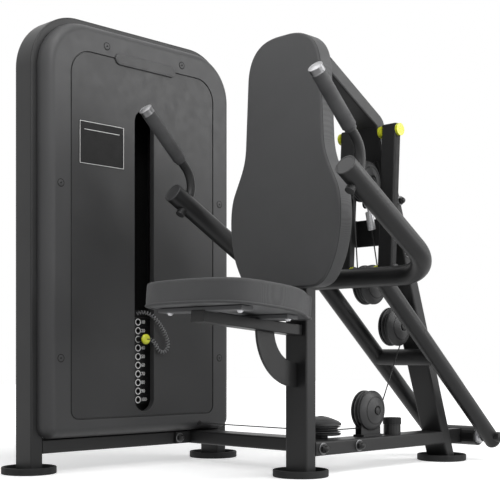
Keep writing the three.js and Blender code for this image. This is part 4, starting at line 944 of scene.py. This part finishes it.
def make_handles():
    """Bent handle tubes with foam grips, grey sleeves and bright caps."""
    up = (HANDLE_TIP - HANDLE_KNEE).normalized()
    for word, side in (("left", -1), ("right", 1)):
        x = side * HANDLE_X
        spot = HANDLE_TIP + Vector((x * MM, 0, 0))
        tube, grip, sleeve, cap = bmesh.new(), bmesh.new(), bmesh.new(), bmesh.new()
        sweep(tube, bent([(x, y, z) for y, z in HANDLE_ROUTE], [75], 28), circle(12.7 * MM, 32))
        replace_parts(painted_piece(tube, f"handle_tube_{word}", "press_arm"), f"handle_{word}")
        for bm, profile in ((grip, GRIP_PROFILE), (sleeve, SLEEVE_PROFILE), (cap, CAP_PROFILE)):
            turned(bm, profile, spot, up, 48)
        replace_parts(piece_from(grip, f"foam_grip_{word}", GRIP, "press_arm"), f"grip_{word}")
        piece_from(sleeve, f"grip_sleeve_{word}", SLEEVE, "press_arm")
        piece_from(cap, f"grip_cap_{word}", CAP, "press_arm")


# Right half of the press bar's route, from its tip to its bend
PRESS_TIP, PRESS_BEND = (319, -190, 801), (302, 217, 560)


def on_side(spot, side):
    return (side * spot[0], spot[1], spot[2])


def make_press_bar():
    """The bent tube of the press arm."""
    bm = bmesh.new()
    route = [on_side(PRESS_TIP, -1), on_side(PRESS_BEND, -1), PRESS_BEND, PRESS_TIP]
    sweep(bm, bent(route, [125, 125], 28), circle(28.5 * MM, 48), UP)
    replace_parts(painted_piece(bm, "press_tube", "press_arm"), "press_bar")


STRUT_FOOT, STRUT_HEAD = Vector((0, 790, 75)) * MM, Vector((0, 217, 560)) * MM
STRUT_END = [(0, -38), (7.4, -38), (14.5, -36.6), (20, -33.5), (23.8, -28.8), (25.4, -23.6)]
STRUT_X, STRUT_RADIUS, CROSS_SHARE = 109, 25.4, 0.527


def make_struts():
    """The two tubes from the press bar down to the pivot and the tube between them."""
    along = STRUT_HEAD - STRUT_FOOT
    profile = STRUT_END + [(radius, along.length / MM) for radius in (STRUT_RADIUS, 0)]
    for word, side in (("left", -1), ("right", 1)):
        tube = bmesh.new()
        turned(tube, profile, STRUT_FOOT + RIGHT * side * STRUT_X * MM, along, 72)
        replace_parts(painted_piece(tube, f"strut_tube_{word}", "press_arm"), f"press_strut_{word}")
    cross = bmesh.new()
    spot = STRUT_FOOT + along * CROSS_SHARE
    turned(cross, [(0, -STRUT_X), (STRUT_RADIUS, -STRUT_X), (STRUT_RADIUS, STRUT_X), (0, STRUT_X)], spot, RIGHT, 72)
    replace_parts(painted_piece(cross, "cross_tube", "press_arm"), "press_cross_tube")


ARM_END_PROFILE = [(0, 0), (28.6, 0), (28.6, 1.5), (27, 2.6), (24, 2.6), (23, 1.6), (0, 1.6)]
HANDLE_END_PROFILE = [(0, 0), (12.9, 0), (12.9, 1.5), (11, 2.4), (0, 2.6)]
# Insets and heights of the plug in the seat beam's end
PLUG_LEVELS = ((0, 0), (0, 1.32), (1.2, 2.2))


def add_end_caps():
    """Plugs in the open ends of the seat's beam, the press bar and the handles."""
    plug, arm_caps = bmesh.new(), bmesh.new()
    rings = []
    for inset, proud in PLUG_LEVELS:
        x, z = ((half - inset) * MM for half in SEAT_BEAM_HALF)
        rings.append([seat_place(sx * x, SEAT_BEAM_TIP - proud * MM, sz * z)
                      for sx, sz in ((1, 1), (-1, 1), (-1, -1), (1, -1))])
    loft(plug, rings)
    trim_piece(plug, "seat_beam_plug", BLACK)
    for side in (-1, 1):
        tip, bend = (Vector(on_side(spot, side)) * MM for spot in (PRESS_TIP, PRESS_BEND))
        turned(arm_caps, ARM_END_PROFILE, tip, tip - bend, 48)
        turned(arm_caps, HANDLE_END_PROFILE, HANDLE_FOOT + RIGHT * side * HANDLE_X * MM,
               HANDLE_FOOT - HANDLE_KNEE, 28)
    piece_from(arm_caps, "arm_end_caps", COVER, "press_arm")


# ---- Tower and shrouds ----

TOWER_FACE = -563 * MM
TOWER_FRONT, TOWER_REAR, TOWER_TOP, BAR_MIDDLE = -486, 235, 1298, 76
TOWER_RUN = 93.7
TOWER_MIDDLE = Vector((TOWER_X, -125 * MM, 650 * MM))
SLOT_LIP = 18


def make_tower_frame():
    """The arch from foot to foot, the bar across its bottom and the cheeks of the lowest pulley."""
    x, front, rear = TOWER_X / MM, TOWER_FRONT, TOWER_REAR
    bm = bmesh.new()
    arch = [(x, front, 8.3), (x, front, TOWER_TOP), (x, rear, TOWER_TOP), (x, rear, 8.3)]
    sweep(bm, bent(arch, [140, 140], 28), rounded(-40, 40, -20, 20, 5, 5, 4))
    bar = [(x, front + 19.5, BAR_MIDDLE), (x, rear - 19.5, BAR_MIDDLE)]
    sweep(bm, bent(bar, []), rounded(-39.6, 39.6, -20, 20, 5, 5, 4))
    cheek = rounded(-587, -563.3, 90, 178, 4, 11, 6)
    for y in (TOWER_RUN - 10, TOWER_RUN + 10):
        loft(bm, [[(u, (y + side * 1.5) * MM, v) for u, v in cheek] for side in (-1, 1)])
    turned(bm, [(0, -12), (8, -12), (8, 12), (0, 12)], (-567 * MM, TOWER_RUN * MM, 158 * MM), -FRONT, 24)
    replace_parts(painted_piece(bm, "tower_arch"), "tower_frame")


def across_x(x, *outline):
    """A rounded rectangle in Y and Z at one X place."""
    return [(x, y, z) for y, z in rounded(*outline, 16)]


def shroud_ring(inset, x):
    half, middle = 360 - inset, TOWER_Y / MM
    return across_x(x, middle - half, middle + half, 98 + inset, 1300 - inset, max(35 - inset, 5), 145 - inset)


def panel_ring(inset, x):
    return across_x(x, -403.5 + inset, 152.5 - inset, 152 + inset, 1214 - inset, 26 - inset, 70 - inset)


def slot_ring(extra, x):
    half, middle = 37 + extra, -132.5
    return across_x(x, middle - half, middle + half, 168 - extra, 1075 + extra, half, half)


def shroud_shell(wall):
    """Rings from the tower's face out over the soft shoulder."""
    rings = []
    for k in range(17):
        angle = 0.5 * math.pi * k / 16
        depth = (47 - wall) * math.sin(angle)
        rings.append(shroud_ring(30 * (1 - math.cos(angle)) + wall, TOWER_FACE + (0.3 + depth) * MM))
    return rings


# Rings of the shroud's rim and of the panel: outline, inset and depth under the shroud's face
SHROUD_RIM = ((panel_ring, -1.2, 0), (panel_ring, -0.6, 0.2), (panel_ring, 0, 0.9), (panel_ring, 0, 3.3),
              (slot_ring, 6, 3.3), (slot_ring, 6, 5))
PANEL_RINGS = ((panel_ring, 2.5, 3), (panel_ring, 2.5, 1.4), (panel_ring, 2.9, 0.5), (panel_ring, 3.8, 0),
               (slot_ring, 3, 0), (slot_ring, 1, 0.6), (slot_ring, 0, 2.4), (slot_ring, 0, SLOT_LIP),
               (slot_ring, 2.4, SLOT_LIP), (slot_ring, 2.4, 3))


def make_shrouds():
    """The front shroud with its panel and slot, and the closed rear shroud."""
    outer, inner = shroud_shell(0), shroud_shell(5)[::-1]
    rim = [ring(inset, SHROUD_FACE - depth * MM) for ring, inset, depth in SHROUD_RIM]
    front = closed_shell("tower_shroud_front", outer + rim + inner, SHROUD)
    paint_shade_inside(front)
    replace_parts(front, "front_shroud")

    rings = [ring(inset, SHROUD_FACE - depth * MM) for ring, inset, depth in PANEL_RINGS]
    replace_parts(closed_shell("tower_panel", rings, PANEL), "front_panel")

    bm = bmesh.new()
    loft(bm, [[(2 * TOWER_X - x, y, z) for x, y, z in ring] for ring in inner + outer])
    rear = trim_piece(bm, "tower_shroud_rear", SHROUD)
    paint_shade_inside(rear)
    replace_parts(rear, "rear_shroud")


def closed_shell(name, rings, material):
    bm = bmesh.new()
    loft(bm, rings, closed=True)
    bmesh.ops.remove_doubles(bm, verts=bm.verts, dist=1e-6)
    return trim_piece(bm, name, material)


def paint_shade_inside(piece):
    """Paints the faces that look into the tower near-black, as the shade inside the tower."""
    piece.data.materials.append(SIGN_AND_SHADE)
    for face in piece.data.polygons:
        face.material_index = 1 if (TOWER_MIDDLE - face.center).dot(face.normal) > 0 else 0


GUSSET_RADIUS, GUSSET_STEPS = 123.5 * MM, 40


def make_gusset():
    """The curved plate between the seat post and the seat's beam."""
    bm = bmesh.new()
    section = rounded(-4, 4, -33.5, 33.5, 0.8, 0.8, 3)
    rings = []
    for k in range(GUSSET_STEPS + 1):
        angle = math.pi * (1 + 0.5 * k / GUSSET_STEPS)
        spoke = Vector((0, math.cos(angle), math.sin(angle)))
        centre = Vector((0, BACK_PLANE, 405 * MM)) + spoke * GUSSET_RADIUS
        rings.append([centre + RIGHT * u + spoke * v for u, v in section])
    loft(bm, rings)
    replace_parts(painted_piece(bm, "seat_web"), "seat_gusset")


FOOT_PROFILE = [(0, 0), (75.4, 0), (77.4, 0.8), (78, 2.2), (78, 17.6), (77.2, 19.4), (75.6, 20), (72.6, 20),
                (71.2, 19.2), (70.4, 17), (69, 9), (68, 8), (0, 8)]
FEET = {"foot_seat_post": (0, 0), "foot_mast": (0, 678), "foot_tower_front": (-603, -486),
        "foot_tower_rear": (-603, 235)}


def make_feet():
    for name, (x, y) in FEET.items():
        bm = bmesh.new()
        turned(bm, FOOT_PROFILE, (x * MM, y * MM, 0), UP, 72)
        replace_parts(trim_piece(bm, f"{name}_cup", RUBBER), name)


RAIL_X, RAIL_LOW, RAIL_TOP = 104 * MM, (286.6 * MM, 565 * MM), (310.5 * MM, 1012 * MM)
GROMMET_PROFILE = [(3.2, -1), (8, -1), (8, 1), (7, 2), (4.4, 2), (3.2, 1), (3.2, -1)]


def add_fasteners():
    """Domed nuts on the frame, black strips down the cage's rails as painted shade between their lit edges, and the
    cable's grommet.
    """
    washers, nuts, side_shade, grommet = bmesh.new(), bmesh.new(), bmesh.new(), bmesh.new()
    beam_face, flange_face, middle = 40 * MM, TOWER_FACE + 8.3 * MM, BAR_MIDDLE * MM
    for y in (49, 208):
        domed_nut(washers, nuts, (beam_face, y * MM, middle), RIGHT, 13 * MM)
    for y in (44, 214):
        domed_nut(washers, nuts, (flange_face, y * MM, middle), RIGHT, 12 * MM)
    for y, z in ((404, 803), (440.5, 648.5)):
        for side in (-1, 1):
            domed_nut(washers, nuts, (side * beam_face, y * MM, z * MM), (side, 0, 0), 11 * MM)
    trim_piece(washers, "frame_washers", SLEEVE)
    trim_piece(nuts, "frame_nuts", BLACK)
    # A black strip down each rail's outer side is painted shade
    section = rounded(-0.6, 0.4, -9.3, 9.3, 0.3, 0.3, 2)
    for side in (-1, 1):
        low, top = (Vector((side * RAIL_X, y, z)) for y, z in (RAIL_LOW, RAIL_TOP))
        along = (top - low).normalized()
        sweep(side_shade, [(low + along * 6 * MM, along), (top - along * 6 * MM, along)], section)
    trim_piece(side_shade, "rail_side_shade", SIGN_AND_SHADE)
    turned(grommet, GROMMET_PROFILE, (SHROUD_FACE - 1 * MM, TOWER_RUN * MM, 122 * MM), RIGHT)
    trim_piece(grommet, "cable_grommet", SIGN_AND_SHADE)


make_camera()
dress_cad()
make_back_pad()
make_seat_pad()
add_plate_labels()
add_signs()
add_shroud_screws()
make_press_cable()
make_stack_cable()
make_tether()
make_tower_frame()
make_shrouds()
make_press_bar()
make_struts()
make_handles()
make_gusset()
make_feet()
add_pulley_covers()
make_seat_beam()
add_seat_bolts()
add_end_caps()
add_fasteners()


# ---- Light and floor ----


def area_light(name, place, size, power):
    """A rectangular lamp that looks at the machine's middle."""
    data = bpy.data.lights.new(name, "AREA")
    data.shape = "RECTANGLE"
    data.size, data.size_y = size
    data.energy = power
    light = bpy.data.objects.new(name, data)
    light.location = place
    aim = Vector(MACHINE_MIDDLE) - Vector(place)
    light.rotation_euler = aim.to_track_quat("-Z", "Y").to_euler()
    bpy.context.scene.collection.objects.link(light)


# Strength of the sky's light from below and from above, and the height between which it changes
WORLD_LOW, WORLD_HIGH = 0.42, 0.2
WORLD_FALL = (-0.15, 0.05)
WORLD_TINT = (0.97, 0.985, 1, 1)
MACHINE_MIDDLE = (-0.15, 0.1, 0.6)
# Each lamp's place, size in metres and power
LAMPS = {
    "key": ((2.6, 0.9, 2.6), (1.4, 1.6), 20),
    "front": ((0.2, -3.2, 2.0), (1.6, 1.2), 8),
    "crown": ((1.3, -1.7, 2.3), (1.2, 1.2), 27),
    "crest": ((-0.2, -0.75, 2.15), (0.8, 0.8), 8),
    "side": ((3.2, 0.2, 1.0), (2.0, 1.6), 25),
    "edge": ((1.4, 1.5, 1.75), (1.2, 1.2), 22),
    "foot": ((1.4, 1.5, 0.45), (0.7, 0.5), 3.6),
}


def make_studio():
    """A white background that a soft sky lights, and the lamps."""
    scene = bpy.context.scene
    scene.view_settings.view_transform = "Standard"
    scene.view_settings.look = "None"
    world = bpy.data.worlds.new("studio")
    scene.world = world
    world.use_nodes = True
    tree = world.node_tree
    tree.nodes.clear()
    link = tree.links.new
    out, mix, path, lit, seen, way, split, fall = (tree.nodes.new("ShaderNode" + kind) for kind in (
        "OutputWorld", "MixShader", "LightPath", "Background", "Background", "TexCoord", "SeparateXYZ", "MapRange"))
    lit.inputs["Color"].default_value = WORLD_TINT
    fall.inputs["From Min"].default_value, fall.inputs["From Max"].default_value = WORLD_FALL
    fall.inputs["To Min"].default_value = WORLD_LOW
    fall.inputs["To Max"].default_value = WORLD_HIGH
    link(way.outputs["Generated"], split.inputs[0])
    link(split.outputs["Z"], fall.inputs["Value"])
    link(fall.outputs["Result"], lit.inputs["Strength"])
    seen.inputs["Color"].default_value = (1, 1, 1, 1)
    seen.inputs["Strength"].default_value = 1.0
    seen_by = path.outputs["Is Camera Ray"]
    for ray in ("Is Glossy Ray", "Is Transmission Ray"):
        either = tree.nodes.new("ShaderNodeMath")
        either.operation = "MAXIMUM"
        link(seen_by, either.inputs[0])
        link(path.outputs[ray], either.inputs[1])
        seen_by = either.outputs["Value"]
    link(seen_by, mix.inputs[0])
    link(lit.outputs[0], mix.inputs[1])
    link(seen.outputs[0], mix.inputs[2])
    link(mix.outputs[0], out.inputs["Surface"])
    for name, (place, size, power) in LAMPS.items():
        area_light(name, place, size, power)


FLOOR_HALF, FLOOR_DROP = 9, 0.5 * MM
FLOOR_GLOW = 0.5


def make_floor():
    """A pale floor whose own glow grows toward the far edge, so that it melts into the background."""
    bm = bmesh.new()
    bmesh.ops.create_grid(bm, x_segments=2, y_segments=2, size=FLOOR_HALF)
    mesh = bpy.data.meshes.new("floor")
    bm.to_mesh(mesh)
    bm.free()
    m = Nodes("floor", 0.8, specular=0.1)
    m.colour(m.blend(m.ramp(m.noise(3, 3), 0, 1), grey(0.9, 1.0), grey(0.93, 1.0)))
    m.shader.inputs["Emission Color"].default_value = (1, 1, 1, 1)
    far = m.node("ShaderNodeVectorMath", operation="LENGTH")
    m.link(m.place, far.inputs[0])
    m.link(m.ramp(far.outputs["Value"], FLOOR_GLOW, 1.0, 1.1, 2.4), m.shader.inputs["Emission Strength"])
    mesh.materials.append(m.material)
    floor = bpy.data.objects.new("floor", mesh)
    floor.location = (0, 0, -FLOOR_DROP)
    floor.visible_diffuse = False
    floor.visible_glossy = False
    bpy.context.scene.collection.objects.link(floor)


make_studio()
make_floor()
